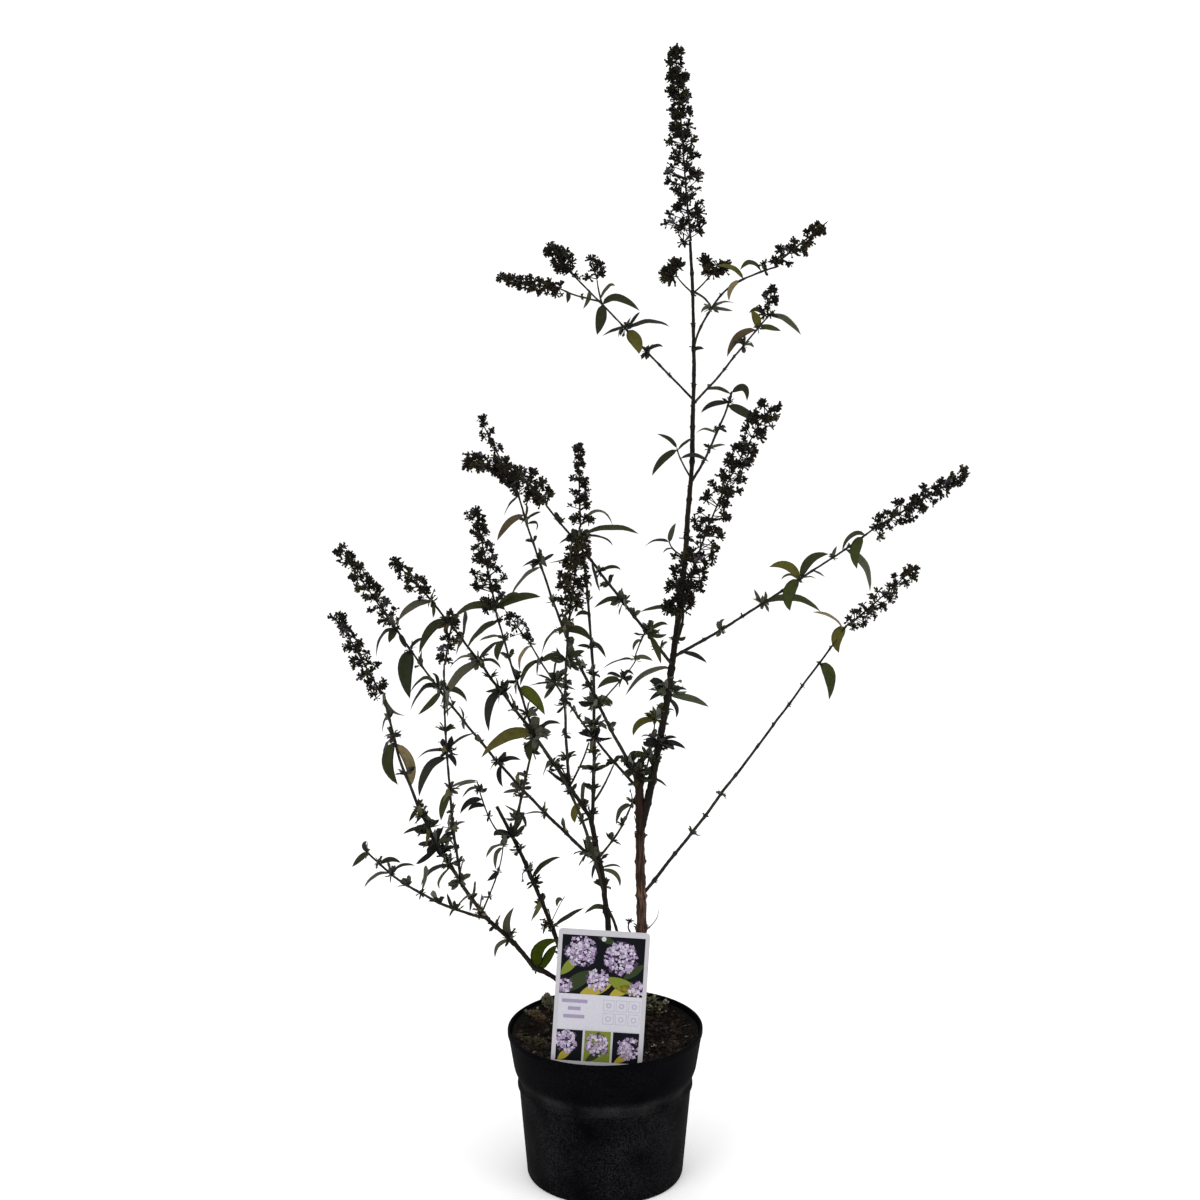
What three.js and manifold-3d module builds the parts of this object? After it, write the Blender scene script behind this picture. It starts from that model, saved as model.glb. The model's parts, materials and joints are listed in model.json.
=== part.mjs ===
// A young butterfly bush past its flowering, potted in a black nursery pot with a picture label.
// Millimetres, Z up. The origin is the centre of the pot's flat underside.
// The plant's front, where the label stands, faces -Y.
import * as THREE from "three";
import { mergeVertices } from "three/addons/utils/BufferGeometryUtils.js";
import Module from "manifold-3d";

const wasm = await Module();
wasm.setup();

// ---- Driving dimensions, in millimetres ----
const GAP = 0.3; // between touching pieces
const POT_HEIGHT = 148;
const RIM_RADIUS = 95;
const COLLAR_WAIST_RADIUS = 88.5; // the collar tapers gently to here, then turns in
const COLLAR_WAIST_HEIGHT = 108;
const COLLAR_FOOT_RADIUS = 82.5;
const COLLAR_FOOT_HEIGHT = 97;
const LEDGE_RADIUS = 85.5;
const LEDGE_TOP = 94;
const LEDGE_BOTTOM = 90.5;
const BODY_TOP_RADIUS = 84;
const BASE_RADIUS = 75;
const BASE_EDGE = 2.5; // rounding of the pot's lower edge
const WALL = 1.6;
const LIP = 2.6; // the rim's rolled edge
const LIP_DEPTH = 5;
const FLOOR = 2.4;
const DRAIN_COUNT = 8;
const DRAIN_CIRCLE = 56;
const DRAIN_RADIUS = 5.5;
const DRAIN_SIDES = 10;
const SOIL_TOP = 130;
const POT_SEGMENTS = 40;

const LABEL_WIDTH = 86;
const LABEL_LENGTH = 134;
const LABEL_THICKNESS = 0.9;
const LABEL_CORNER = 4;
const LABEL_HOLE_RADIUS = 2.2;
const LABEL_HOLE_DROP = 8; // from the label's top edge to its hole
const LABEL_LEAN_BACK = 9.5; // degrees
const LABEL_LEAN_SIDE = 3.6; // degrees, its top towards +X
const LABEL_FOOT = [-9, -73]; // where the middle of its lower edge stands on the compost

const LIMB_SIDES = 6;
const LIMB_STEPS = 6;
const LIMB_START_DEPTH = 3; // stems start this far below the compost's top and are cut flat by it
const FLARE_REACH = 0.07; // share of a stem over which its root flare dies away
const SPIKE_SIDES = 8;
const SPIKE_RINGS = 8;
const SPIKE_HOLD = 4; // how far a bough's tip reaches into its flower spike
const LUMP_SIDES = 9;
const LUMP_RINGS = 6;
const LUMP_WAVE = 0.16; // how uneven a leaf mass is, as a share of its half size
const SPIKE_WAVE = 0.13;

const COLOURS = {
  pot: "#1b1c1d",
  compost: "#3a2c23",
  label: "#e9e7e4",
  stem: "#6d5244",
  bough: "#77685a",
  spike: "#33282a",
  leaves: "#5c6442",
};

// ---- Solids ----
const { Manifold, Mesh: SolidMesh } = wasm;

/** A closed three.js geometry as a manifold-3d solid. */
function solidFrom(geometry) {
  const bare = new THREE.BufferGeometry();
  bare.setAttribute("position", geometry.getAttribute("position").clone());
  if (geometry.index) bare.setIndex(geometry.index.clone());
  const merged = mergeVertices(bare, 1e-3);
  return new Manifold(
    new SolidMesh({
      numProp: 3,
      vertProperties: new Float32Array(merged.getAttribute("position").array),
      triVerts: new Uint32Array(merged.index.array),
    }),
  );
}

/** A manifold-3d solid as a three.js geometry. */
function geometryFrom(solid) {
  const mesh = solid.getMesh();
  const geometry = new THREE.BufferGeometry();
  const places = new Float32Array(mesh.vertProperties);
  geometry.setAttribute("position", new THREE.BufferAttribute(places, 3));
  geometry.setIndex(new THREE.BufferAttribute(new Uint32Array(mesh.triVerts), 1));
  return geometry;
}

/** The largest single body of a solid. */
function largestBody(solid) {
  const bodies = solid.decompose();
  return bodies.reduce((best, body) => (body.volume() > best.volume() ? body : best));
}

/** True if the boxes around two solids come within a gap of each other. */
function boxesMeet(a, b) {
  const boxA = a.boundingBox();
  const boxB = b.boundingBox();
  return [0, 1, 2].every(
    (i) => boxA.min[i] <= boxB.max[i] + GAP && boxB.min[i] <= boxA.max[i] + GAP,
  );
}

const part = new THREE.Group();
part.name = "potted_butterfly_bush";
const swollen = []; // every piece placed so far, a gap larger all round

/** Adds a named piece, cut back by a gap from each piece placed before it. */
function place(name, colour, shape) {
  let solid = shape(0);
  for (const other of swollen) {
    if (boxesMeet(solid, other)) solid = solid.subtract(other);
  }
  solid = largestBody(solid);
  swollen.push(shape(GAP));
  const material = new THREE.MeshStandardMaterial({ color: colour, roughness: 0.8 });
  material.name = name;
  const mesh = new THREE.Mesh(geometryFrom(solid), material);
  mesh.name = name;
  part.add(mesh);
}

/** A closed profile of [radius, height] pairs turned about Z, its outside listed going down. */
function turned(profile, segments) {
  const points = profile.map(([r, z]) => new THREE.Vector2(r, z));
  const lathe = new THREE.LatheGeometry(points, segments);
  lathe.rotateX(Math.PI / 2);
  return solidFrom(lathe);
}

// ---- The pot and what fills it ----

/** The pot's outside as [radius, height], from the rim down to the underside. */
function potOutside(grow) {
  return [
    [RIM_RADIUS + grow, POT_HEIGHT + grow],
    [RIM_RADIUS + grow, POT_HEIGHT - LIP_DEPTH],
    [RIM_RADIUS - 1 + grow, POT_HEIGHT - LIP_DEPTH - 1.5],
    [COLLAR_WAIST_RADIUS + grow, COLLAR_WAIST_HEIGHT],
    [COLLAR_FOOT_RADIUS + grow, COLLAR_FOOT_HEIGHT],
    [LEDGE_RADIUS + grow, LEDGE_TOP],
    [LEDGE_RADIUS + grow, LEDGE_BOTTOM + 1],
    [BODY_TOP_RADIUS + grow, LEDGE_BOTTOM - grow],
    [BASE_RADIUS + BASE_EDGE * 0.6 + grow, BASE_EDGE],
    [BASE_RADIUS + grow, -grow],
  ];
}

/** The pot's inside as [radius, height], from the floor up to the rim. */
function potInside(grow) {
  return [
    [BASE_RADIUS - WALL - grow, FLOOR + grow],
    [BODY_TOP_RADIUS - WALL - grow, LEDGE_BOTTOM - 2],
    [COLLAR_FOOT_RADIUS - WALL - grow, COLLAR_FOOT_HEIGHT],
    [COLLAR_WAIST_RADIUS - WALL - grow, COLLAR_WAIST_HEIGHT],
    [RIM_RADIUS - WALL - LIP / 2 - grow, POT_HEIGHT - LIP_DEPTH - 3],
    [RIM_RADIUS - LIP - grow, POT_HEIGHT + grow],
  ];
}

/** The thin-walled pot: ledge, tapering collar, rolled rim and drain holes round its floor. */
function pot(grow) {
  const inside = potInside(grow);
  const axis = [0, FLOOR + grow];
  const profile = [...potOutside(grow).reverse(), ...inside.slice().reverse()];
  const shell = turned([[0, -grow], ...profile, axis], POT_SEGMENTS);
  const holes = Array.from({ length: DRAIN_COUNT }, (_, i) => {
    const angle = (2 * Math.PI * (i + 0.5)) / DRAIN_COUNT;
    const hole = new THREE.CylinderGeometry(DRAIN_RADIUS, DRAIN_RADIUS, 4 * FLOOR, DRAIN_SIDES);
    hole.rotateX(Math.PI / 2);
    hole.translate(DRAIN_CIRCLE * Math.cos(angle), DRAIN_CIRCLE * Math.sin(angle), FLOOR / 2);
    return solidFrom(hole);
  });
  return shell.subtract(Manifold.union(holes));
}

/** The compost, flat on top, filling the pot to below its rim. */
function compost(grow) {
  const wall = potInside(GAP - grow);
  const [waist, lip] = [wall[3], wall[4]];
  const slope = (SOIL_TOP - waist[1]) / (lip[1] - waist[1]);
  const topRadius = THREE.MathUtils.lerp(waist[0], lip[0], slope);
  const sides = [...wall.slice(0, 4), [topRadius, SOIL_TOP + grow]];
  return turned([[0, wall[0][1]], ...sides, [0, SOIL_TOP + grow]], POT_SEGMENTS);
}

/** The stiff card label with rounded upper corners and a hanging hole, leaning on its lower edge. */
function pictureLabel(grow) {
  const half = LABEL_WIDTH / 2 + grow;
  const top = LABEL_LENGTH + grow;
  const corner = LABEL_CORNER;
  const outline = new THREE.Shape();
  outline.moveTo(-half, GAP);
  outline.lineTo(half, GAP);
  outline.lineTo(half, top - corner);
  outline.quadraticCurveTo(half, top, half - corner, top);
  outline.lineTo(-half + corner, top);
  outline.quadraticCurveTo(-half, top, -half, top - corner);
  const hole = new THREE.Path();
  const holeHeight = LABEL_LENGTH - LABEL_HOLE_DROP;
  hole.absarc(0, holeHeight, LABEL_HOLE_RADIUS - grow, 0, 2 * Math.PI, true);
  outline.holes.push(hole);
  const thickness = LABEL_THICKNESS + 2 * grow;
  const card = new THREE.ExtrudeGeometry(outline, {
    depth: thickness,
    bevelEnabled: false,
    curveSegments: 3,
  });
  card.translate(0, 0, -thickness / 2);
  card.rotateZ(THREE.MathUtils.degToRad(-LABEL_LEAN_SIDE));
  card.rotateX(THREE.MathUtils.degToRad(90 - LABEL_LEAN_BACK));
  const side = (LABEL_WIDTH / 2) * Math.sin(THREE.MathUtils.degToRad(LABEL_LEAN_SIDE));
  card.translate(LABEL_FOOT[0], LABEL_FOOT[1], SOIL_TOP + side + GAP);
  return solidFrom(card);
}

// ---- Stems and boughs ----
const limbs = new Map(); // name -> { curve, radiusAt }

/** The curve from one point to another whose middle stands off the straight line by bow. */
function bowed(from, to, bow) {
  const middle = from.clone().add(to).multiplyScalar(0.5);
  const control = middle.addScaledVector(bow, 2);
  return new THREE.QuadraticBezierCurve3(from, control, to);
}

/** A closed tube along a curve, its radius following radiusAt, its ends square to the curve. */
function tubeAlong(curve, radiusAt, grow) {
  const frames = curve.computeFrenetFrames(LIMB_STEPS, false);
  const tube = new THREE.CylinderGeometry(1, 1, 1, LIMB_SIDES, LIMB_STEPS);
  const places = tube.getAttribute("position");
  const place = new THREE.Vector3();
  for (let i = 0; i < places.count; i++) {
    place.fromBufferAttribute(places, i);
    const ring = Math.round((place.y + 0.5) * LIMB_STEPS);
    const share = ring / LIMB_STEPS;
    const radius = radiusAt(share) + grow;
    const across = place.x * radius;
    const along = place.z * radius;
    const end = (share === 1 ? grow : 0) - (share === 0 ? grow : 0);
    place.copy(curve.getPointAt(share));
    place.addScaledVector(frames.binormals[ring], across);
    place.addScaledVector(frames.normals[ring], along);
    place.addScaledVector(frames.tangents[ring], end);
    places.setXYZ(i, place.x, place.y, place.z);
  }
  return solidFrom(tube);
}

/** A point on a limb placed before, at a share of its length, with an offset. */
function on(name, share, offset = [0, 0, 0]) {
  return limbs.get(name).curve.getPointAt(share).add(new THREE.Vector3(...offset));
}

/**
 * One tapering limb. from and to are points, bow is how far its middle stands off the straight
 * line, thick is its foot and tip diameter, and flare is the extra foot diameter of a stem.
 */
function limb(name, colour, { from, to, bow, thick, flare = 0 }) {
  const curve = bowed(from, new THREE.Vector3(...to), new THREE.Vector3(...bow));
  const radiusAt = (share) => {
    const taper = THREE.MathUtils.lerp(thick[0], thick[1], share) / 2;
    return taper + (flare / 2) * Math.exp(-share / FLARE_REACH);
  };
  limbs.set(name, { curve, radiusAt });
  place(name, colour, (grow) => tubeAlong(curve, radiusAt, grow));
}

/** A stem that stands on the compost at a place [x, y]. */
function stem(name, foot, sizes) {
  const from = new THREE.Vector3(foot[0], foot[1], SOIL_TOP - LIMB_START_DEPTH);
  limb(name, COLOURS.stem, { from, ...sizes });
}

/** A bough that leaves another limb at a share of that limb's length. */
function bough(name, parent, share, sizes) {
  limb(name, COLOURS.bough, { from: on(parent, share), ...sizes });
}

// ---- Flower spikes and leaf masses ----

/** How far a mass stands out from its mean size, by direction and height; each seed its own. */
function unevenness(turn, height, seed) {
  const broad = Math.sin(2 * turn + 1.7 * seed + 3 * height);
  const fine = Math.sin(3 * turn - 2.3 * seed - 5 * height);
  const level = Math.sin(7 * height + 1.1 * seed);
  return 0.45 * broad + 0.3 * fine + 0.25 * level;
}

/**
 * A flower spike: an uneven body round a curve from its bough's tip to its own. fullness lists
 * its radius at the foot, low, middle, high and near the tip.
 */
function spike(name, parent, { tip, bow = [0, 0, 0], fullness, seed }) {
  const boughCurve = limbs.get(parent).curve;
  const from = boughCurve.getPointAt(1 - SPIKE_HOLD / boughCurve.getLength());
  const curve = bowed(from, new THREE.Vector3(...tip), new THREE.Vector3(...bow));
  const frames = curve.computeFrenetFrames(SPIKE_RINGS, false);
  const shape = (grow) => {
    const body = new THREE.SphereGeometry(1, SPIKE_SIDES, SPIKE_RINGS);
    const places = body.getAttribute("position");
    const place = new THREE.Vector3();
    for (let i = 0; i < places.count; i++) {
      place.fromBufferAttribute(places, i);
      const turn = Math.atan2(place.z, place.x);
      const ring = Math.round((Math.acos(THREE.MathUtils.clamp(-place.y, -1, 1)) / Math.PI) * SPIKE_RINGS);
      const share = ring / SPIKE_RINGS;
      const at = share * (fullness.length - 1);
      const low = Math.min(Math.floor(at), fullness.length - 2);
      const full = THREE.MathUtils.lerp(fullness[low], fullness[low + 1], at - low);
      const ends = ring === 0 || ring === SPIKE_RINGS;
      const radius = ends ? 0 : full * (1 + SPIKE_WAVE * unevenness(turn, share * 2, seed)) + grow;
      const end = (ring === SPIKE_RINGS ? grow : 0) - (ring === 0 ? grow : 0);
      place.copy(curve.getPointAt(share));
      place.addScaledVector(frames.normals[ring], radius * Math.cos(turn));
      place.addScaledVector(frames.binormals[ring], radius * Math.sin(turn));
      place.addScaledVector(frames.tangents[ring], end);
      places.setXYZ(i, place.x, place.y, place.z);
    }
    const solid = solidFrom(body);
    return solid.volume() > 0 ? solid : solidFrom(flipped(body));
  };
  place(name, COLOURS.spike, shape);
}

/** The same geometry with its faces turned round. */
function flipped(geometry) {
  const index = geometry.index.array;
  for (let i = 0; i < index.length; i += 3) {
    [index[i + 1], index[i + 2]] = [index[i + 2], index[i + 1]];
  }
  return geometry;
}

/** A leaf mass: an uneven lump round a point of its bough, half its size along X, Y and Z. */
function leafMass(name, centre, half, seed) {
  const shape = (grow) => {
    const body = new THREE.SphereGeometry(1, LUMP_SIDES, LUMP_RINGS);
    body.rotateX(Math.PI / 2);
    const places = body.getAttribute("position");
    const place = new THREE.Vector3();
    for (let i = 0; i < places.count; i++) {
      place.fromBufferAttribute(places, i);
      const turn = Math.atan2(place.y, place.x) * (Math.hypot(place.x, place.y) > 1e-6 ? 1 : 0);
      const out = 1 + LUMP_WAVE * unevenness(turn, place.z, seed);
      const x = centre.x + place.x * (half[0] * out + grow);
      const y = centre.y + place.y * (half[1] * out + grow);
      const z = centre.z + place.z * (half[2] * out + grow);
      places.setXYZ(i, x, y, z);
    }
    return solidFrom(body);
  };
  place(name, COLOURS.leaves, shape);
}

// ---- The plant, from the ground up ----
place("pot", COLOURS.pot, pot);
place("compost", COLOURS.compost, compost);
place("picture_label", COLOURS.label, pictureLabel);

// Stems that rise from the compost.
stem("trunk", [31, 8], { to: [31, 14, 406], bow: [4, -1, 0], thick: [9.5, 7], flare: 7 });
stem("middle_stem", [7, -4], { to: [-14, 4, 360], bow: [7, -1, 1], thick: [7.5, 5.6], flare: 5 });
stem("cut_stem", [-15, -14], { to: [-101, -40, 382], bow: [8, 2, 3], thick: [6.5, 4.4], flare: 4 });
stem("low_stem", [-20, -26], { to: [-115, -62, 285], bow: [9, 4, 7], thick: [6, 4.2], flare: 3 });

// The leader and the boughs of the right side.
bough("leader", "trunk", 0.76, { to: [78, 15, 899], bow: [20, 0, -2], thick: [6.4, 2.2] });
bough("low_right_bough", "trunk", 0.54, {
  to: [240, 115, 523],
  bow: [2, 0, -1],
  thick: [4.6, 2.4],
});
bough("arching_bough", "leader", 0.315, {
  to: [235, -95, 651],
  bow: [3, 2, -2],
  thick: [4.4, 2.2],
});
bough("companion_bough", "leader", 0.33, { to: [72, -22, 566], bow: [2, 0, 0], thick: [3.6, 2.8] });
bough("short_right_bough", "leader", 0.61, { to: [120, 70, 758], bow: [3, 0, -1], thick: [3, 2] });
bough("top_right_bough", "leader", 0.742, { to: [157, 105, 830], bow: [0, 0, -1], thick: [2.6, 1.8] });
bough("high_right_bough", "leader", 0.835, {
  to: [150, -35, 879],
  bow: [-11, 1, 11],
  thick: [2.4, 1.8],
});

// The boughs that cross to the left from the trunk and the leader.
bough("crossing_bough", "leader", 0.3, { to: [-50, -135, 677], bow: [-1, 3, 2], thick: [4.4, 2.4] });
bough("top_left_bough", "leader", 0.747, { to: [-28, -85, 873], bow: [-1, 2, 1], thick: [2.8, 1.8] });
bough("top_left_fork", "top_left_bough", 0.8, { to: [-38, -100, 861], bow: [0, 0, -1], thick: [2, 1.6] });
bough("nodding_bough", "trunk", 0.96, { to: [-83, 50, 664], bow: [-9, 0, -4], thick: [4.2, 2.2] });
bough("inner_bough", "trunk", 0.92, { to: [-77, 150, 500], bow: [-3, 1, -5], thick: [3.6, 2] });

// The boughs of the middle stem.
bough("upright_bough", "middle_stem", 0.97, { to: [-25, 140, 617], bow: [7, 1, 0], thick: [4, 2.2] });
bough("upper_left_bough", "middle_stem", 0.99, {
  to: [-156, -115, 595],
  bow: [2, 2, 2],
  thick: [4.8, 2.2],
});
bough("left_bough", "middle_stem", 0.79, { to: [-210, 135, 516], bow: [-7, 1, -8], thick: [4.4, 2.4] });
bough("back_shoot", "middle_stem", 0.82, { to: [52, 170, 412], bow: [10, 0, -5], thick: [2.8, 1.8] });
bough("straight_bough", "upper_left_bough", 0.15, {
  to: [-32, -95, 577],
  bow: [-4, 1, 1],
  thick: [3.6, 2.2],
});
bough("slender_bough", "upper_left_bough", 0.37, {
  to: [-104, 30, 554],
  bow: [-1, 0, -1],
  thick: [3, 2],
});

// The boughs of the low stem.
bough("rising_bough", "low_stem", 0.97, { to: [-206, -30, 486], bow: [-13, 0, -6], thick: [3.8, 2.2] });
bough("low_left_bough", "low_stem", 0.96, { to: [-212, -140, 370], bow: [-6, 0, -8], thick: [3, 1.8] });
bough("thin_bough", "rising_bough", 0.17, { to: [-140, -150, 539], bow: [-4, 1, 0], thick: [3, 1.8] });

// Spent flower spikes at the tips.
spike("top_spike", "leader", { tip: [62, 5, 1074], fullness: [3, 12, 15, 13, 9, 5], seed: 1 });
spike("high_right_spike", "high_right_bough", { tip: [196, -50, 919], fullness: [4, 11, 11, 8, 4], seed: 2 });
spike("top_right_head", "top_right_bough", { tip: [162, 112, 859], fullness: [3, 8, 9, 8, 4], seed: 3 });
spike("top_left_spike", "top_left_bough", { tip: [-52, -92, 901], fullness: [3, 9, 10, 8, 4], seed: 4 });
spike("forward_left_spike", "top_left_fork", {
  tip: [-91, -125, 872],
  fullness: [4, 9, 9, 7, 4],
  seed: 5,
});
spike("slanting_spike", "companion_bough", {
  tip: [144, -115, 763],
  bow: [-9, 2, 4],
  fullness: [6, 13, 12, 12, 11, 9, 5],
  seed: 6,
});
spike("arching_spike", "arching_bough", { tip: [314, -120, 706], fullness: [4, 11, 11, 8, 4], seed: 7 });
spike("low_right_spike", "low_right_bough", { tip: [317, 150, 580], fullness: [4, 11, 11, 8, 4], seed: 8 });
spike("crossing_spike", "crossing_bough", {
  tip: [-121, -185, 722],
  bow: [6, 1, 10],
  fullness: [5, 12, 11, 8, 4],
  seed: 9,
});
spike("nodding_spike", "nodding_bough", { tip: [-120, 75, 735], fullness: [4, 10, 10, 8, 4], seed: 10 });
spike("upright_spike", "upright_bough", { tip: [-27, 170, 702], fullness: [4, 9, 9, 8, 4], seed: 11 });
spike("straight_spike", "straight_bough", { tip: [-22, -115, 650], fullness: [5, 10, 10, 8, 4], seed: 12 });
spike("upper_left_spike", "upper_left_bough", {
  tip: [-183, -135, 630],
  fullness: [3, 8, 9, 7, 3],
  seed: 13,
});
spike("slender_spike", "slender_bough", { tip: [-124, 45, 652], fullness: [5, 12, 11, 8, 5], seed: 14 });
spike("left_spike", "left_bough", { tip: [-272, 175, 594], fullness: [5, 11, 11, 9, 4], seed: 15 });
spike("rising_spike", "rising_bough", { tip: [-247, -50, 569], fullness: [5, 10, 10, 8, 4], seed: 16 });
spike("thin_spike", "thin_bough", { tip: [-130, -165, 592], fullness: [3, 7, 8, 7, 3], seed: 17 });
spike("inner_head", "inner_bough", { tip: [-102, 165, 531], fullness: [4, 9, 10, 8, 4], seed: 18 });

// The pair of spent side heads under the top spike, the leader passing through between them.
leafMass("paired_side_heads", on("leader", 0.962), [25, 11, 12], 19);

// Leaf masses, each held by the bough that passes into or through it.
leafMass("arching_leaves", on("arching_bough", 0.64, [2, 0, -5]), [31, 22, 25], 21);
leafMass("low_right_leaves", on("low_right_bough", 0.9, [2, 0, -3]), [17, 18, 27], 23);
leafMass("top_right_leaves", on("top_right_bough", 0.84, [8, 0, -6]), [26, 22, 18], 24);
leafMass("top_left_leaves", on("top_left_bough", 0.55), [36, 22, 20], 25);
leafMass("short_right_leaves", on("short_right_bough", 0.93, [6, 2, -2]), [21, 20, 18], 27);
leafMass("trunk_top_leaves", on("trunk", 0.99, [10, -4, 14]), [21, 18, 21], 29);
leafMass("upper_left_leaves", on("upper_left_bough", 0.86, [-1, 0, -1]), [31, 22, 16], 31);
leafMass("inner_left_leaves", on("slender_bough", 0.23, [-14, -2, -4]), [27, 24, 26], 33);
leafMass("rising_leaves", on("rising_bough", 0.93, [9, 0, 2]), [17, 17, 30], 34);
leafMass("low_left_leaves", on("low_left_bough", 0.98), [15, 15, 12], 36);
leafMass("foot_leaves", on("cut_stem", 0.46, [-5, 0, -3]), [20, 17, 20], 37);
leafMass("back_shoot_leaves", on("back_shoot", 0.98), [15, 15, 12], 38);

export default part;
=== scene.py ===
"""Looks of a young butterfly bush past its flowering, in its nursery pot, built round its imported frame.

The axes are the frame's own: +Z up the plant, -Y its front, where the label stands, and +X to the
right seen from the front. The origin is under the middle of the pot. Lengths are in metres, those
in plans, tables and finishes in millimetres, and places in the front view in its own points,
1200 across and down.
"""

from __future__ import annotations

import json
import logging
import math
from collections import defaultdict
from dataclasses import dataclass
from enum import Enum
from typing import NamedTuple

import bpy
import numpy as np
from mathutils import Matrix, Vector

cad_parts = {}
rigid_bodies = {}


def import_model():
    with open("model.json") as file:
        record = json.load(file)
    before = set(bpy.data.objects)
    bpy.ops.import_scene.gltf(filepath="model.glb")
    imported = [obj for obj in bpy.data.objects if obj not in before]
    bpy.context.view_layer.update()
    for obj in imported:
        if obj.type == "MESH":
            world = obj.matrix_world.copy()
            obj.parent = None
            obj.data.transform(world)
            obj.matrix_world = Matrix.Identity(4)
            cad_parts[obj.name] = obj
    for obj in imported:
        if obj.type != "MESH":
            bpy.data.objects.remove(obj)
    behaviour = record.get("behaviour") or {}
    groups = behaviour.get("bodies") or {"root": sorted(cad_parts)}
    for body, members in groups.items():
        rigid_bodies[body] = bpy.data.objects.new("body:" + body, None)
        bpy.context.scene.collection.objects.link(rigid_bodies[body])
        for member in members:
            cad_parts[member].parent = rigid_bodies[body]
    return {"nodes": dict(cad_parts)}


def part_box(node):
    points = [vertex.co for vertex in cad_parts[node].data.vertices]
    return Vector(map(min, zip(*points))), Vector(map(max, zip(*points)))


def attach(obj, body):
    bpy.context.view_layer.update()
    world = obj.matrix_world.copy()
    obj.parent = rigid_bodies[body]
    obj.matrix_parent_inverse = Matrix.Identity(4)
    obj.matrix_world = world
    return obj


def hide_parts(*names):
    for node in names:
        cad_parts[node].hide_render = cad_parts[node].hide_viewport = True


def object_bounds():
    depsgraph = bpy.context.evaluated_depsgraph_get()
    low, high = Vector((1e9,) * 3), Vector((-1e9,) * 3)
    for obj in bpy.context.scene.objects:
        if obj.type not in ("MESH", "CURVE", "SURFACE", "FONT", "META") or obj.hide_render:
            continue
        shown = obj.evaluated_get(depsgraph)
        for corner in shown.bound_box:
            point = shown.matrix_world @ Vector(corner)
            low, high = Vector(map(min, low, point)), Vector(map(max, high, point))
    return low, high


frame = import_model()

LOG = logging.getLogger("butterfly_bush")
CAD_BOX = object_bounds()
MM = 0.001
UP = np.array([0.0, 0.0, 1.0])
MIX_A, MIX_B, MIX_RESULT = 6, 7, 2  # the colour sockets of a Mix node

Array, Rng = np.ndarray, np.random.Generator
Tree, Socket, Object = bpy.types.NodeTree, bpy.types.NodeSocket, bpy.types.Object
Spot = tuple[float, float]  # a place in the front view, or a pair of sizes


# ---- Small sums ----


def unit(vectors: Array) -> Array:
    """Scales each vector, along the last axis, to length one."""
    return vectors / np.maximum(np.linalg.norm(vectors, axis=-1, keepdims=True), 1e-12)


def linear(colour: str, *shares: float) -> tuple[float, ...]:
    """Turns an sRGB hex colour into the linear colour that a shader takes.

    Args:
        colour: The colour as #rrggbb.
        shares: How much of its linear red, green and blue is kept; all, if none is given.

    Returns:
        Linear red, green, blue and an alpha of one.
    """
    srgb = np.array([int(colour[i : i + 2], 16) for i in (1, 3, 5)]) / 255
    light = np.where(srgb <= 0.04045, srgb / 12.92, ((srgb + 0.055) / 1.055) ** 2.4)
    return (*(light * (shares or 1)).tolist(), 1.0)


def ripple(places: Array, size: float, seed: int, waves: int = 7) -> Array:
    """A smooth uneven value at each place: the mean of plane sine waves in seeded directions.

    Args:
        places: Points, the last axis x, y, z.
        size: The rough length of one wave.
        seed: Which waves are drawn.
        waves: How many waves are added.

    Returns:
        A value of about -1 to 1 for each point.
    """
    rng = np.random.default_rng(seed)
    heading = unit(rng.normal(size=(waves, 3))) * (2 * np.pi / size)
    pace = rng.uniform(0.6, 1.7, waves)[:, None]
    phase = rng.uniform(0, 2 * np.pi, waves)
    return np.sin(places @ (heading * pace).T + phase).sum(-1) / math.sqrt(waves * 0.9)


def circle(sides: int) -> Array:
    """The angles of evenly spread corners round a circle."""
    return np.linspace(0, 2 * np.pi, sides, endpoint=False)


def polar(out: Array | float, turn: Array | float) -> Array:
    """Level places [x, y, 0] from their distance from the origin and their turn round it."""
    return np.stack(np.broadcast_arrays(out * np.cos(turn), out * np.sin(turn), 0.0), axis=-1)


def across_to(along: Array) -> tuple[Array, Array]:
    """Two directions square to each unit vector and to each other, from the world axis least along it."""
    least = np.eye(3)[np.abs(along.reshape(-1, 3)).mean(0).argmin()]
    first = unit(least - (along @ least)[..., None] * along)
    return first, np.cross(along, first)


def spokes(along: Array, sides: int) -> Array:
    """Directions spread evenly round each unit vector, as (n, sides, 3): cos v first + sin v second."""
    (first, second), turn = across_to(along), circle(sides)[:, None]
    return first[:, None] * np.cos(turn) + second[:, None] * np.sin(turn)


def on_curve(terms: Array, at: Array) -> Array:
    """Points of a curve whose x, y and z are polynomials with these terms, the highest first."""
    return sum(at[:, None] ** (len(terms) - 1 - i) * term for i, term in enumerate(terms))


# ---- Meshes from arrays ----


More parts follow.
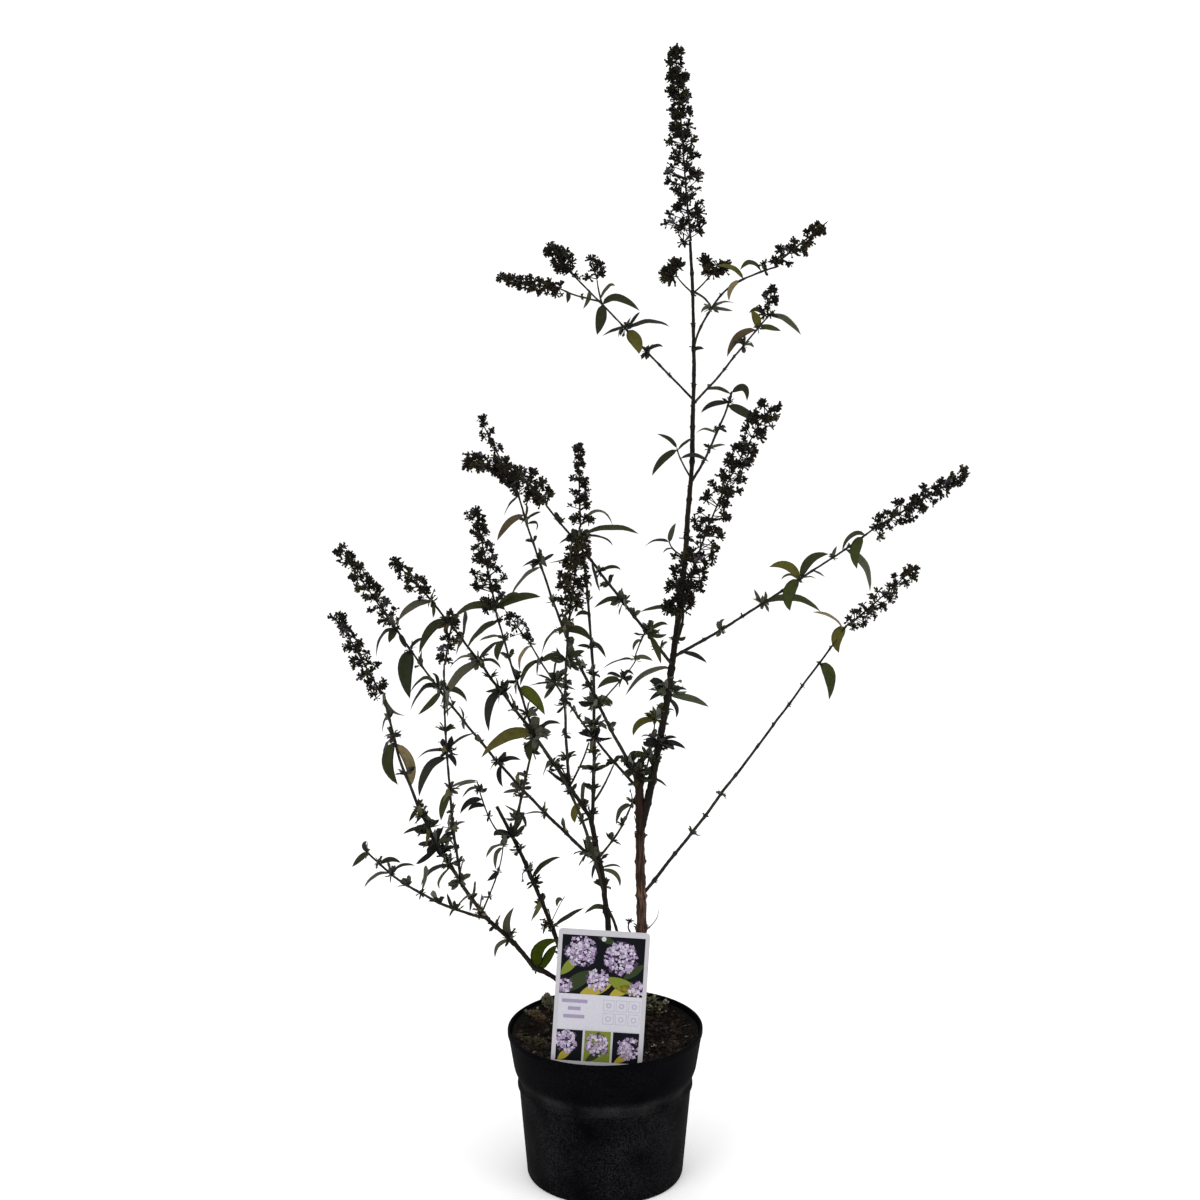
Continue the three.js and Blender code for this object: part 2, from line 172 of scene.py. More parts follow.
@dataclass
class Shape:
    """Points, and faces that index them: four corners each, the last one -1 on a triangle."""

    points: Array
    faces: Array
    tint: Array  # the number of each face's finish
    follow: Array | None = None  # each point's place on its shoot laid straight

    @staticmethod
    def joined(shapes: list[Shape]) -> Shape:
        """One shape that holds all the given ones.

        Args:
            shapes: The shapes to join.

        Returns:
            The joined shape, with a follow array if all of them have one.
        """
        starts = np.cumsum([0] + [len(s.points) for s in shapes[:-1]])
        faces = [np.where(s.faces < 0, -1, s.faces + n) for s, n in zip(shapes, starts)]
        follow = [s.follow for s in shapes]
        return Shape(
            np.concatenate([s.points for s in shapes]),
            np.concatenate(faces),
            np.concatenate([s.tint for s in shapes]),
            None if any(one is None for one in follow) else np.concatenate(follow),
        )

    def build(self, name: str, finishes: list[Finish], smooth: bool = True) -> Object:
        """Makes the Blender object, at the origin, with one material slot for each finish.

        Args:
            name: The piece's name.
            finishes: The finishes that the tint numbers pick from.
            smooth: Whether its faces are shaded smooth.

        Returns:
            The object.
        """
        sizes = np.where(self.faces[:, 3] < 0, 3, 4)
        corners = self.faces[self.faces >= 0]
        mesh = bpy.data.meshes.new(name)
        mesh.vertices.add(len(self.points))
        mesh.vertices.foreach_set("co", self.points.astype(np.float32).ravel())
        mesh.loops.add(len(corners))
        mesh.loops.foreach_set("vertex_index", corners.astype(np.int32))
        mesh.polygons.add(len(sizes))
        mesh.polygons.foreach_set("loop_start", (np.cumsum(sizes) - sizes).astype(np.int32))
        mesh.polygons.foreach_set("material_index", self.tint.astype(np.int32))
        mesh.polygons.foreach_set("use_smooth", np.full(len(sizes), smooth))
        if self.follow is not None:
            place = mesh.attributes.new(StripedBark.FOLLOW, "FLOAT_VECTOR", "POINT")
            place.data.foreach_set("vector", self.follow.astype(np.float32).ravel())
        for finish in finishes:
            mesh.materials.append(finish.material())
        mesh.update(calc_edges=True)
        piece = bpy.data.objects.new(name, mesh)
        bpy.context.scene.collection.objects.link(piece)
        LOG.info("%s: %d faces", name, len(sizes))
        return piece


def settle(piece: Object, slot: str, *nodes: str) -> None:
    """Makes a finished piece ride on the plant's one body.

    Args:
        piece: The finished piece.
        slot: The name of the record's material slot for the piece; not used.
        nodes: The frame's nodes that it stands for.
    """
    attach(piece, "root")
    if nodes:
        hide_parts(*nodes)


def skin(rings: Array, foot: Array, tip: Array, tint: Array | int = 0) -> Shape:
    """Closes rings of points into tubes with a pole at either end, many alike at once.

    Args:
        rings: Points as (copy, ring, place round it, xyz), each ring turning left round the
            direction from foot to tip.
        foot: The pole before the first ring of each copy, as (copy, xyz).
        tip: The pole after the last ring.
        tint: The tint number of each copy, or of all.

    Returns:
        The shape.
    """
    copies, count, sides, _ = rings.shape
    size = count * sides + 2
    points = np.concatenate([rings.reshape(copies, -1, 3), foot[:, None], tip[:, None]], axis=1)
    here, none = np.arange(sides), np.full(sides, -1)
    onward = np.roll(here, -1)
    low, high = (np.arange(count - 1)[:, None] * sides + side for side in (here, onward))
    walls = np.stack([low, high, high + sides, low + sides], axis=-1).reshape(-1, 4)
    last = (count - 1) * sides
    first = np.stack([onward, here, none + size - 1, none], axis=-1)
    end = np.stack([here + last, onward + last, none + size, none], axis=-1)
    one = np.concatenate([walls, first, end])
    faces = np.where(one < 0, -1, one + (np.arange(copies) * size)[:, None, None])
    tints = np.repeat(np.broadcast_to(tint, copies), len(one))
    return Shape(points.reshape(-1, 3), faces.reshape(-1, 4), tints)


def spun(profile: Array, sides: int) -> Shape:
    """A profile turned about Z: f(u, v) = (r(u) cos v, r(u) sin v, z(u)), closed by two poles.

    Args:
        profile: Points [radius, height] that start and end on the axis, going up the outside.
        sides: How many steps the turn takes.

    Returns:
        The shape.
    """
    radius, height = profile[1:-1].T[..., None]
    rings = polar(radius, circle(sides)) + UP * height[..., None]
    return skin(rings[None], profile[:1, 1:] * UP, profile[-1:, 1:] * UP)


def struts(start: Array, end: Array, thick: Spot, sides: int = 4, tint: Array | int = 0) -> Shape:
    """Many straight tapering stalks.

    Args:
        start: Where each stalk begins, as (n, 3).
        end: Where each ends.
        thick: The radius at the beginning and at the end.
        sides: How many sides a stalk has.
        tint: The tint number of each stalk, or of all.

    Returns:
        The shape.
    """
    out = spokes(unit(end - start), sides)
    rings = np.stack([start[:, None] + thick[0] * out, end[:, None] + thick[1] * out], axis=1)
    return skin(rings, start, end, tint)


def rounded(corners: list[tuple[float, float, float]], steps: int = 5) -> Array:
    """An outline whose corners are eased: each is swapped for an arc that keeps its neighbours.

    Args:
        corners: Points [x, y, easing], where easing is how far from the corner its arc begins.
        steps: How many points an arc takes.

    Returns:
        The eased outline as (n, 2).
    """
    spots = np.array(corners)
    share = np.linspace(0, 1, steps)[:, None]
    line = [spots[:1, :2]]
    for before, here, after in zip(spots[:-2], spots[1:-1], spots[2:]):
        back = here[:2] + unit(before[:2] - here[:2]) * here[2]
        onward = here[:2] + unit(after[:2] - here[:2]) * here[2]
        arc = (1 - share) ** 2 * back + 2 * share * (1 - share) * here[:2] + share**2 * onward
        line.append(arc if here[2] > 0 else here[None, :2])
    return np.concatenate([*line, spots[-1:, :2]])


def turned_at_random(rng: Rng, count: int) -> Array:
    """Evenly spread turns, from quaternions of four normal draws.

    Args:
        rng: Where the draws come from.
        count: How many turns.

    Returns:
        Turning matrices as (count, 3, 3).
    """
    w, x, y, z = unit(rng.normal(size=(count, 4))).T
    rows = [
        [1 - 2 * (y * y + z * z), 2 * (x * y - z * w), 2 * (x * z + y * w)],
        [2 * (x * y + z * w), 1 - 2 * (x * x + z * z), 2 * (y * z - x * w)],
        [2 * (x * z - y * w), 2 * (y * z + x * w), 1 - 2 * (x * x + y * y)],
    ]
    return np.moveaxis(np.array(rows), -1, 0)


# ---- Finishes ----


def add_node(tree: Tree, kind: str, inputs: dict, **settings: object) -> bpy.types.Node:
    """Adds a shader node with its settings, values and links.

    Args:
        tree: The material's node tree.
        kind: The node's type, less the word ShaderNode.
        inputs: A value, or another node's output to link, for each input socket.
        settings: The node's own properties.

    Returns:
        The node.
    """
    node = tree.nodes.new("ShaderNode" + kind)
    for key, value in settings.items():
        setattr(node, key, value)
    for key, value in inputs.items():
        if isinstance(value, Socket):
            tree.links.new(value, node.inputs[key])
        else:
            node.inputs[key].default_value = value
    return node


@dataclass(frozen=True)
class Finish:
    """A material: a base colour in soft patches with a second one, on a fine grain."""

    name: str
    colour: str
    second: str = ""  # the patches' colour; if none is given, its own by the shade
    shade: tuple[float, ...] = ()  # how much of the second's red, green and blue is kept
    gloss: float = 0.12  # the shader's specular level, low on dull and dusty surfaces
    rough: float = 0.9
    ior: float = 1.5
    patch: float = 5.0
    levels: Spot = (0.4, 0.8)  # the noise levels between which the patches come in
    detail: float = 3.0
    grain: float = 1.0
    depth: float = 0.0  # of the grain's relief

    def material(self) -> bpy.types.Material:
        """Makes the material at its first use, and finds it after that.

        Returns:
            The material.
        """
        made = bpy.data.materials.get(self.name)
        if made is None:
            made = bpy.data.materials.new(self.name)
            made.use_nodes = True
            made.diffuse_color = linear(self.colour)
            tree = made.node_tree
            tree.nodes.clear()
            plain = {"Base Color": linear(self.colour), "Roughness": self.rough, "IOR": self.ior}
            plain["Specular IOR Level"] = self.gloss
            shader = add_node(tree, "BsdfPrincipled", plain | self.dress(tree))
            add_node(tree, "OutputMaterial", {"Surface": shader.outputs["BSDF"]})
        return made

    def dress(self, tree: Tree) -> dict[str, object]:
        """The patterns of the finish.

        Args:
            tree: The material's node tree.

        Returns:
            A value or a node's output for each input of the shader that it sets.
        """
        share = self.cloud(tree, self.patch, *self.levels, self.detail)
        inputs = {"Base Color": self.painted(tree, share)}
        if self.depth:
            inputs["Normal"] = self.relief(tree, self.cloud(tree, self.grain, 0.3, 0.7))
        return inputs

    @staticmethod
    def cloud(
        tree: Tree, size: float, low: float, high: float, detail: float = 3, place: Socket = None
    ) -> Socket:
        """Soft patches, as a share that goes from 0 to 1 between two levels of noise.

        Args:
            tree: The material's node tree.
            size: The width of a patch.
            low: The noise level that gives 0.
            high: The noise level that gives 1.
            detail: How much finer noise is added.
            place: Where the noise is read; Object coordinates, if none is given.

        Returns:
            The share's socket.
        """
        if place is None:
            place = add_node(tree, "TexCoord", {}).outputs["Object"]
        noise = add_node(tree, "TexNoise", {"Vector": place, "Scale": 1 / (size * MM), "Detail": detail})
        levels = {"Value": noise.outputs["Fac"], "From Min": low, "From Max": high}
        return add_node(tree, "MapRange", levels).outputs["Result"]

    @staticmethod
    def by_height(tree: Tree, heights: Spot, values: Spot) -> Socket:
        """A value that changes evenly from one height on the piece to another.

        Args:
            tree: The material's node tree.
            heights: The lower and the upper height.
            values: The value at and below the lower one, and at and above the upper one.

        Returns:
            The value's socket.
        """
        place = add_node(tree, "TexCoord", {})
        parts = add_node(tree, "SeparateXYZ", {"Vector": place.outputs["Object"]})
        levels = {"Value": parts.outputs["Z"], "From Min": heights[0] * MM, "From Max": heights[1] * MM}
        levels |= {"To Min": values[0], "To Max": values[1]}
        return add_node(tree, "MapRange", levels).outputs["Result"]

    def painted(self, tree: Tree, *shares: Socket) -> Socket:
        """The finish's own colour with the second one over it, by the product of some shares.

        Args:
            tree: The material's node tree.
            shares: How much of the second shows, each from 0 to 1.

        Returns:
            The colour's socket.
        """
        cover = shares[0]
        for share in shares[1:]:
            cover = add_node(tree, "Math", {0: cover, 1: share}, operation="MULTIPLY").outputs[0]
        second = linear(self.second or self.colour, *self.shade)
        colours = {0: cover, MIX_A: linear(self.colour), MIX_B: second}
        return add_node(tree, "Mix", colours, data_type="RGBA").outputs[MIX_RESULT]

    def relief(self, tree: Tree, height: Socket) -> Socket:
        """A relief too shallow to be meshed, as the socket of its normals."""
        return add_node(tree, "Bump", {"Height": height, "Distance": self.depth * MM}).outputs["Normal"]


@dataclass(frozen=True)
class MouldedPolypropylene(Finish):
    """Black recycled polypropylene, injection moulded, handled and dusty.

    The eye sees charcoal with a broad soft shine, a fine moulded grain, and cloudy dry grey dust,
    more of it low on the pot than near the rim. A lighter line along the ledge is partly dust and
    partly a painted highlight where the step catches light.
    """

    second: str = "#3c3b3c"
    ior: float = 1.49
    patch: float = 34.0
    speck: float = 1.5
    grain: float = 0.9
    depth: float = 0.12
    ledge: Spot = (99.0, 8.0)  # the height of the lighter line along it, part dust and part painted highlight, and its reach to either side
    # how light the ledge line gets at its middle: dust, with painted highlight
    ledge_dust_and_highlight: float = 0.6
    loose: float = 0.9
    clean_from: Spot = (103.0, 110.0)  # the heights between which it turns clean
    amounts: Spot = (0.64, 0.16)  # how dusty it is below them, and above
    dusty_rough: Spot = (0.68, 0.92)  # clean and dusty

    def dress(self, tree: Tree) -> dict[str, object]:
        """Lays dust in patches and specks, and a lighter line along the ledge of dust and painted highlight.

        Args:
            tree: The material's node tree.

        Returns:
            The colour, the roughness and the normals.
        """
        patches = self.cloud(tree, self.patch, 0.3, 0.75, 6)
        specks = self.cloud(tree, self.speck, 0.4, 0.78, 4)
        ledge, reach = self.ledge
        under = self.by_height(tree, (ledge - reach, ledge), (0, self.ledge_dust_and_highlight))
        over = self.by_height(tree, (ledge, ledge + reach), (self.ledge_dust_and_highlight, 0))
        # the ledge line: dust resting on the step, and a painted highlight where the step catches light
        line = add_node(tree, "Math", {0: under, 1: over}, operation="MINIMUM").outputs[0]
        dust = {0: specks, 1: self.loose, 2: line}
        dust = add_node(tree, "Math", dust, operation="MULTIPLY_ADD").outputs[0]
        cover = add_node(tree, "Math", {0: patches, 1: dust}, operation="MULTIPLY", use_clamp=True)
        cover = cover.outputs[0]
        clean, dusty = self.dusty_rough
        rough = add_node(tree, "MapRange", {"Value": cover, "To Min": clean, "To Max": dusty})
        return {
            "Roughness": rough.outputs["Result"],
            "Base Color": self.painted(tree, cover, self.by_height(tree, self.clean_from, self.amounts)),
            "Normal": self.relief(tree, self.cloud(tree, self.grain, 0.3, 0.7)),
        }


@dataclass(frozen=True)
class PlasticCard(Finish):
    """White polystyrene label card, faintly satin and a little soiled in soft patches."""

    second: str = "#8f8a86"
    rough: float = 0.38
    ior: float = 1.58
    patch: float = 14.0
    levels: Spot = (0.55, 1.0)
    detail: float = 5.0
    grain: float = 0.7
    depth: float = 0.02


@dataclass(frozen=True)
class PrintInk(Finish):
    """Offset ink under a thin varnish: flat colour, mottled as printed dots are from a distance."""

    shade: tuple[float, ...] = (0.9, 0.9, 0.9)
    gloss: float = 0.03
    rough: float = 0.4
    patch: float = 1.6
    levels: Spot = (0.35, 0.75)
    detail: float = 2.0


@dataclass(frozen=True)
class DampCompost(Finish):
    """Damp composted bark and peat: matt, red brown on its crumbs, near black in its pits: dark peat and
    painted shade.
    """

    rough: float = 0.93
    crumb: float = 3.2
    patch: float = 18.0
    depth: float = 0.8

    def dress(self, tree: Tree) -> dict[str, object]:
        """Mixes two browns by crumb and by patch, the dark one in the relief's low places as painted shade.

        Args:
            tree: The material's node tree.

        Returns:
            The colour and the normals.
        """
        # one noise gives both colour and relief: the crumbs' tops pale, the pits dark as painted shade
        fine = self.cloud(tree, self.crumb, 0.38, 0.7, 5)
        broad = self.cloud(tree, self.patch, 0.35, 0.7)
        return {"Base Color": self.painted(tree, fine, broad), "Normal": self.relief(tree, fine)}


@dataclass(frozen=True)
class StripedBark(Finish):
    """Thin bark of young shoots: pale fibres lengthwise over darker skin, split here and there.

    The eye sees narrow stripes that follow the shoot, so the pattern reads the place on the
    shoot as if it were laid straight, which each tube carries as an attribute.
    """

    FOLLOW = "straight_place"
    rough: float = 0.74
    ior: float = 1.45
    stripe: float = 1.1
    stretch: float = 14.0
    patch: float = 22.0
    depth: float = 0.25
    dimmed: Spot | None = None  # the heights between which it turns darker

    def dress(self, tree: Tree) -> dict[str, object]:
        """Draws lengthwise stripes and weathered patches.

        Args:
            tree: The material's node tree.

        Returns:
            The colour and the normals.
        """
        place = add_node(tree, "Attribute", {}, attribute_name=self.FOLLOW).outputs["Vector"]
        squeezed = add_node(tree, "Mapping", {"Vector": place, "Scale": (1, 1, 1 / self.stretch)})
        stripes = self.cloud(tree, self.stripe, 0.42, 0.7, 4, squeezed.outputs["Vector"])
        shares = [stripes, self.cloud(tree, self.patch, 0.3, 0.75)]
        if self.dimmed:
            shares.append(self.by_height(tree, self.dimmed, (1, 0.15)))
        return {"Base Color": self.painted(tree, *shares), "Normal": self.relief(tree, stripes)}


@dataclass(frozen=True)
class DrySeedHead(Finish):
    """Withered florets and seed capsules: papery, matt, some of them faded towards brown."""

    rough: float = 0.88
    levels: Spot = (0.45, 0.8)
    grain: float = 0.8
    depth: float = 0.2


@dataclass(frozen=True)
class LeafSkin(Finish):
    """A dull downy leaf of late season: matt, a little mottled and puckered.

    The eye sees the faint pale bloom of its fine hairs at the rims.
    """

    shade: tuple[float, ...] = (0.6, 0.62, 0.6)
    rough: float = 0.7
    ior: float = 1.43
    sheen: float = 0.05
    patch: float = 4.0
    detail: float = 4.0
    grain: float = 1.1
    depth: float = 0.15

    def dress(self, tree: Tree) -> dict[str, object]:
        """Adds the bloom of its down."""
        return super().dress(tree) | {"Sheen Weight": self.sheen, "Sheen Roughness": 0.5}


@dataclass(frozen=True)
class StudioPaint(Finish):
    """Matt white studio floor, with hardly any gloss."""

    gloss: float = 0.1
    rough: float = 0.95

    def dress(self, tree: Tree) -> dict[str, object]:
        """Keeps it plain."""
        return {}


class Palette(Enum):
    """Finishes that one mesh deals out to its faces by their numbers."""

    @classmethod
    def finishes(cls) -> list[Finish]:
        """All the finishes, in the order of their numbers."""
        return [one.value for one in cls]

    def number(self) -> int:
        """This one's place in the list of finishes."""
        return list(type(self)).index(self)


class Tint(Palette):
    """The leaf colours of this plant in late season, dealt out leaf by leaf."""

    DARK = LeafSkin("leaf_charcoal_green", "#1f211a")
    GREY = LeafSkin("leaf_grey_green", "#403f31", sheen=0.12)
    DOWNY = LeafSkin("leaf_downy_green", "#393e2a", sheen=0.15)
    DUSKY = LeafSkin("leaf_dark_olive", "#242713")
    OLIVE = LeafSkin("leaf_olive", "#2a2e15")
    GREEN = LeafSkin("leaf_green", "#2e3512")
    MOSSY = LeafSkin("leaf_deep_green", "#222615")
    BRIGHT = LeafSkin("leaf_bright_green", "#454a10")
    YELLOW = LeafSkin("leaf_yellowing", "#484418")
    BROWN = LeafSkin("leaf_browned", "#473a27")
    TAN = LeafSkin("leaf_dry_tan", "#6f6346")
    BLACK = LeafSkin("leaf_blackened", "#131210")
    PALE = LeafSkin("leaf_pale_weed", "#6c6e55", sheen=0.1)
    RUST = LeafSkin("leaf_rusty", "#644526")
    WHITISH = LeafSkin("leaf_bleached", "#bdbbac")
    GRASS = LeafSkin("leaf_grass_green", "#2b3503", gloss=0.05, sheen=0.0)


# The tints by their bare names, in their own order, for the tables of leaves.
(DARK, GREY, DOWNY, DUSKY, OLIVE, GREEN, MOSSY, BRIGHT) = list(Tint)[:8]
(YELLOW, BROWN, TAN, BLACK, PALE, RUST, WHITISH, GRASS) = list(Tint)[8:]


class Ink(Palette):
    """The inks of the label."""

    GROUND = PrintInk("ink_slate", "#0f1014")
    DEEP = PrintInk("ink_deep_green", "#2b3520")
    LEAF = PrintInk("ink_yellow_green", "#67702a")
    GOLD = PrintInk("ink_gold", "#8f8231")
    PETAL = PrintInk("ink_lilac", "#9a89a5")
    PALE = PrintInk("ink_pale_lilac", "#b5acbd")
    DUSK = PrintInk("ink_violet", "#4a3b56")
    MAUVE = PrintInk("ink_mauve_grey", "#8a7f98")
    LINE = PrintInk("ink_soft_grey", "#9996a6")
    FIELD = PrintInk("ink_pale_lavender", "#b1b0b8")


SPENT_FLORETS = [
    DrySeedHead("florets_black_brown", "#100f0b", "#221e15"),
    DrySeedHead("florets_dark_brown", "#1e1a12", "#2f2a1d"),
    DrySeedHead("florets_olive_brown", "#292516", "#3d3720"),
    DrySeedHead("florets_violet_grey", "#38333a", "#565058"),
]
TRUNK_BARK = StripedBark("bark_red_brown", "#1d110d", "#7d5e49", stripe=1.3, dimmed=(280, 360))
STEM_BARK = StripedBark("bark_dark_brown", "#0f0b07", "#2b231b")
BOUGH_BARK = StripedBark("bark_grey_brown", "#191614", "#3f3933")
TWIG_BARK = StripedBark("bark_green_grey", "#1f1f17", "#423f30", stripe=0.9)
CUT_WOOD = DrySeedHead("cut_wood", "#5a4b3b", "#2e261f")


# ---- The view from the front ----


@dataclass(frozen=True)
class FrontView:
    """The camera in front of the plant, and the way between its picture and the plant."""

    place: tuple[float, float, float] = (-0.005, -1.843, 0.906)
    tilt: float = 79.7  # degrees up from straight down
    lens: float = 60.0
    sensor: float = 36.0
    picture: int = 1200

    @property
    def reach(self) -> float:
        """The lens's distance from the picture, in picture points."""
        return self.picture * self.lens / self.sensor

    def axes(self) -> tuple[Array, Array]:
        """The camera's forward and up directions."""
        angle = math.radians(self.tilt)
        forward = np.array([0, math.sin(angle), -math.cos(angle)])
        return forward, np.array([0, math.cos(angle), math.sin(angle)])

    def at_depth(self, spot: Spot, depth: float) -> Array:
        """The point of the plant behind a place in the picture.

        Args:
            spot: The place in the picture.
            depth: The point's Y.

        Returns:
            The point.
        """
        forward, up = self.axes()
        side, down = (np.array(spot) - self.picture / 2) / self.reach
        ray = forward + np.array([side, 0, 0]) - up * down
        return np.array(self.place) + (depth - self.place[1]) / ray[1] * ray

    def spots(self, points: Array) -> Array:
        """Where points of the plant lie in the picture.

        Args:
            points: Points as (n, 3).

        Returns:
            Places in the picture as (n, 2).
        """
        forward, up = self.axes()
        off = points - np.array(self.place)
        side, rise = np.stack([off[:, 0], off @ up]) / (off @ forward) * self.reach
        return np.stack([self.picture / 2 + side, self.picture / 2 - rise], axis=-1)

    def metres(self, depth: float) -> float:
        """How much one picture point spans on the plant at a depth Y."""
        return (depth - self.place[1]) / self.reach

    def make(self) -> None:
        """Makes the scene's camera."""
        lens = bpy.data.cameras.new("front_camera")
        lens.lens = self.lens
        lens.sensor_width = self.sensor
        camera = bpy.data.objects.new("front_camera", lens)
        camera.location = self.place
        camera.rotation_euler = (math.radians(self.tilt), 0, 0)
        bpy.context.scene.collection.objects.link(camera)
        bpy.context.scene.camera = camera


VIEW = FrontView()


@dataclass(frozen=True)
class Lamp:
    """A square soft lamp."""

    place: tuple[float, float, float]
    target: tuple[float, float, float]
    side: float
    power: float  # watts


@dataclass(frozen=True)
class Studio:
    """A white room: an even sky, two soft lamps and a pale floor."""

    floor_size: float = 60.0
    sky: float = 1.12
    lamps: tuple[Lamp, ...] = (
        Lamp((-1.6, -2.2, 2.4), (0, 0, 0.5), 1.6, 30.0),
        Lamp((1.9, -1.4, 1.8), (0, 0, 0.6), 1.4, 16.0),
    )

    def make(self) -> None:
        """Makes the floor, the sky and the lamps."""
        scene = bpy.context.scene
        scene.view_settings.view_transform = "Standard"
        scene.view_settings.look = "None"
        scene.world = bpy.data.worlds.new("studio")
        scene.world.use_nodes = True
        background = scene.world.node_tree.nodes["Background"]
        background.inputs["Color"].default_value = (1, 1, 1, 1)
        background.inputs["Strength"].default_value = self.sky
        for number, plan in enumerate(self.lamps):
            data = bpy.data.lights.new(f"soft_lamp_{number}", "AREA")
            data.size = plan.side
            data.energy = plan.power
            lamp = bpy.data.objects.new(data.name, data)
            x, y, z = np.array(plan.target) - np.array(plan.place)
            lamp.location = plan.place
            lamp.rotation_euler = (math.atan2(math.hypot(x, y), -z), 0, math.atan2(y, x) - math.pi / 2)
            scene.collection.objects.link(lamp)
        corners = np.array([[-1, -1, 0], [1, -1, 0], [1, 1, 0], [-1, 1, 0]]) * self.floor_size / 2
        sheet = Shape(corners, np.array([[0, 1, 2, 3]]), np.zeros(1))
        floor = sheet.build("studio_floor", [StudioPaint("studio_white", "#fafafa")])


# ---- The pot, what fills it, and its label ----


@dataclass
class NurseryPot:
    """The thin-walled pot, turned from one profile; its sizes are in millimetres."""

    rim_radius: float = 95.0
    height: float = 148.0
    lip_depth: float = 5.0
    lip: float = 2.6
    waist: Spot = (88.5, 108.0)  # radius and height
    collar_foot: Spot = (82.5, 97.0)  # radius and height
    ledge_radius: float = 85.5
    ledge: Spot = (90.5, 94.0)  # from one height to the other
    body_radius: float = 84.0
    base_radius: float = 75.0
    wall: float = 1.6
    floor: float = 2.4
    drains: int = 8
    drain_circle: float = 56.0
    drain_radius: float = 5.5
    sides: int = 192
    squeeze: float = 0.004  # how far out of round its rim is, as a share of its radius
    lift: float = 3.2  # how much higher its rim stands on one side
    lift_way: float = 0.75  # that side, in radians round the pot

    def profile(self) -> Array:
        """The wall's outline, up the outside and down the inside.

        Returns:
            Its points as [radius, height].
        """
        rim, top, wall = self.rim_radius, self.height, self.wall
        base, body = self.base_radius, self.body_radius
        low, high = self.ledge
        under_lip = top - self.lip_depth
        waist, waist_height = self.waist
        collar, collar_height = self.collar_foot
        return rounded(
            [
                (0, 0, 0),
                (base - 6, 0, 0.5),
                (base, 0, 1.2),
                (base + 1.5, 2.5, 1.2),
                (body, low, 0.3),
                (self.ledge_radius, low + 0.8, 0.5),
                (self.ledge_radius, high, 0.9),
                (collar, collar_height - 0.6, 1.2),
                (waist, waist_height, 5),
                (rim - 1, under_lip - 1.5, 1.2),
                (rim, under_lip, 0.8),
                (rim, top, 1.1),
                (rim - self.lip, top, 1.1),
                (rim - wall - self.lip / 2, under_lip - 3, 1.5),
                (waist - wall, waist_height, 5),
                (collar - wall, collar_height, 1.2),
                (body - wall, low - 2, 1),
                (base - wall, self.floor, 2),
                (0, self.floor, 0),
            ]
        )

    def build(self) -> None:
        """Makes the pot, presses it slightly out of round, and cuts its drain holes."""
        shape = spun(self.profile() * MM, self.sides)
        points = shape.points
        turn = np.arctan2(points[:, 1], points[:, 0])
        rise = (points[:, 2] / (self.height * MM)) ** 2
        points[:, :2] *= (1 - self.squeeze * rise * (1 - np.cos(2 * turn + 0.6)) / 2)[:, None]
        points[:, 2] += self.lift * MM * rise**2 * (1 + np.cos(turn - self.lift_way)) / 2
        finish = MouldedPolypropylene("moulded_black_plastic", "#020204", gloss=0.015)
        pot = shape.build("nursery_pot", [finish])
        self.cut_drains(pot, finish)
        settle(pot, "pot", "pot")

    def cut_drains(self, pot: Object, finish: Finish) -> None:
        """Cuts the ring of drain holes through the pot's floor.

        Args:
            pot: The pot, which is changed.
            finish: The pot's finish, for the holes' walls.
        """
        turn = (np.arange(self.drains) + 0.5) * 2 * np.pi / self.drains
        centre = polar(self.drain_circle * MM, turn)
        deep = UP * self.floor * MM
        plugs = struts(centre - deep, centre + 2 * deep, (self.drain_radius * MM,) * 2, 24)
        cutter = plugs.build("drain_cutter", [finish], False)
        cut = pot.modifiers.new("drain_holes", "BOOLEAN")
        cut.object = cutter
        cut.operation = "DIFFERENCE"
        cut.solver = "EXACT"
        depsgraph = bpy.context.evaluated_depsgraph_get()
        bored = bpy.data.meshes.new_from_object(pot.evaluated_get(depsgraph))
        pot.modifiers.clear()
        pot.data = bored
        bpy.data.objects.remove(cutter)


@dataclass
class Crumb:
    """One kind of loose bit on the compost."""

    name: str
    finish: Finish
    count: int
    size: Spot  # millimetres, from and to
    flat: float  # its height as a share of its length


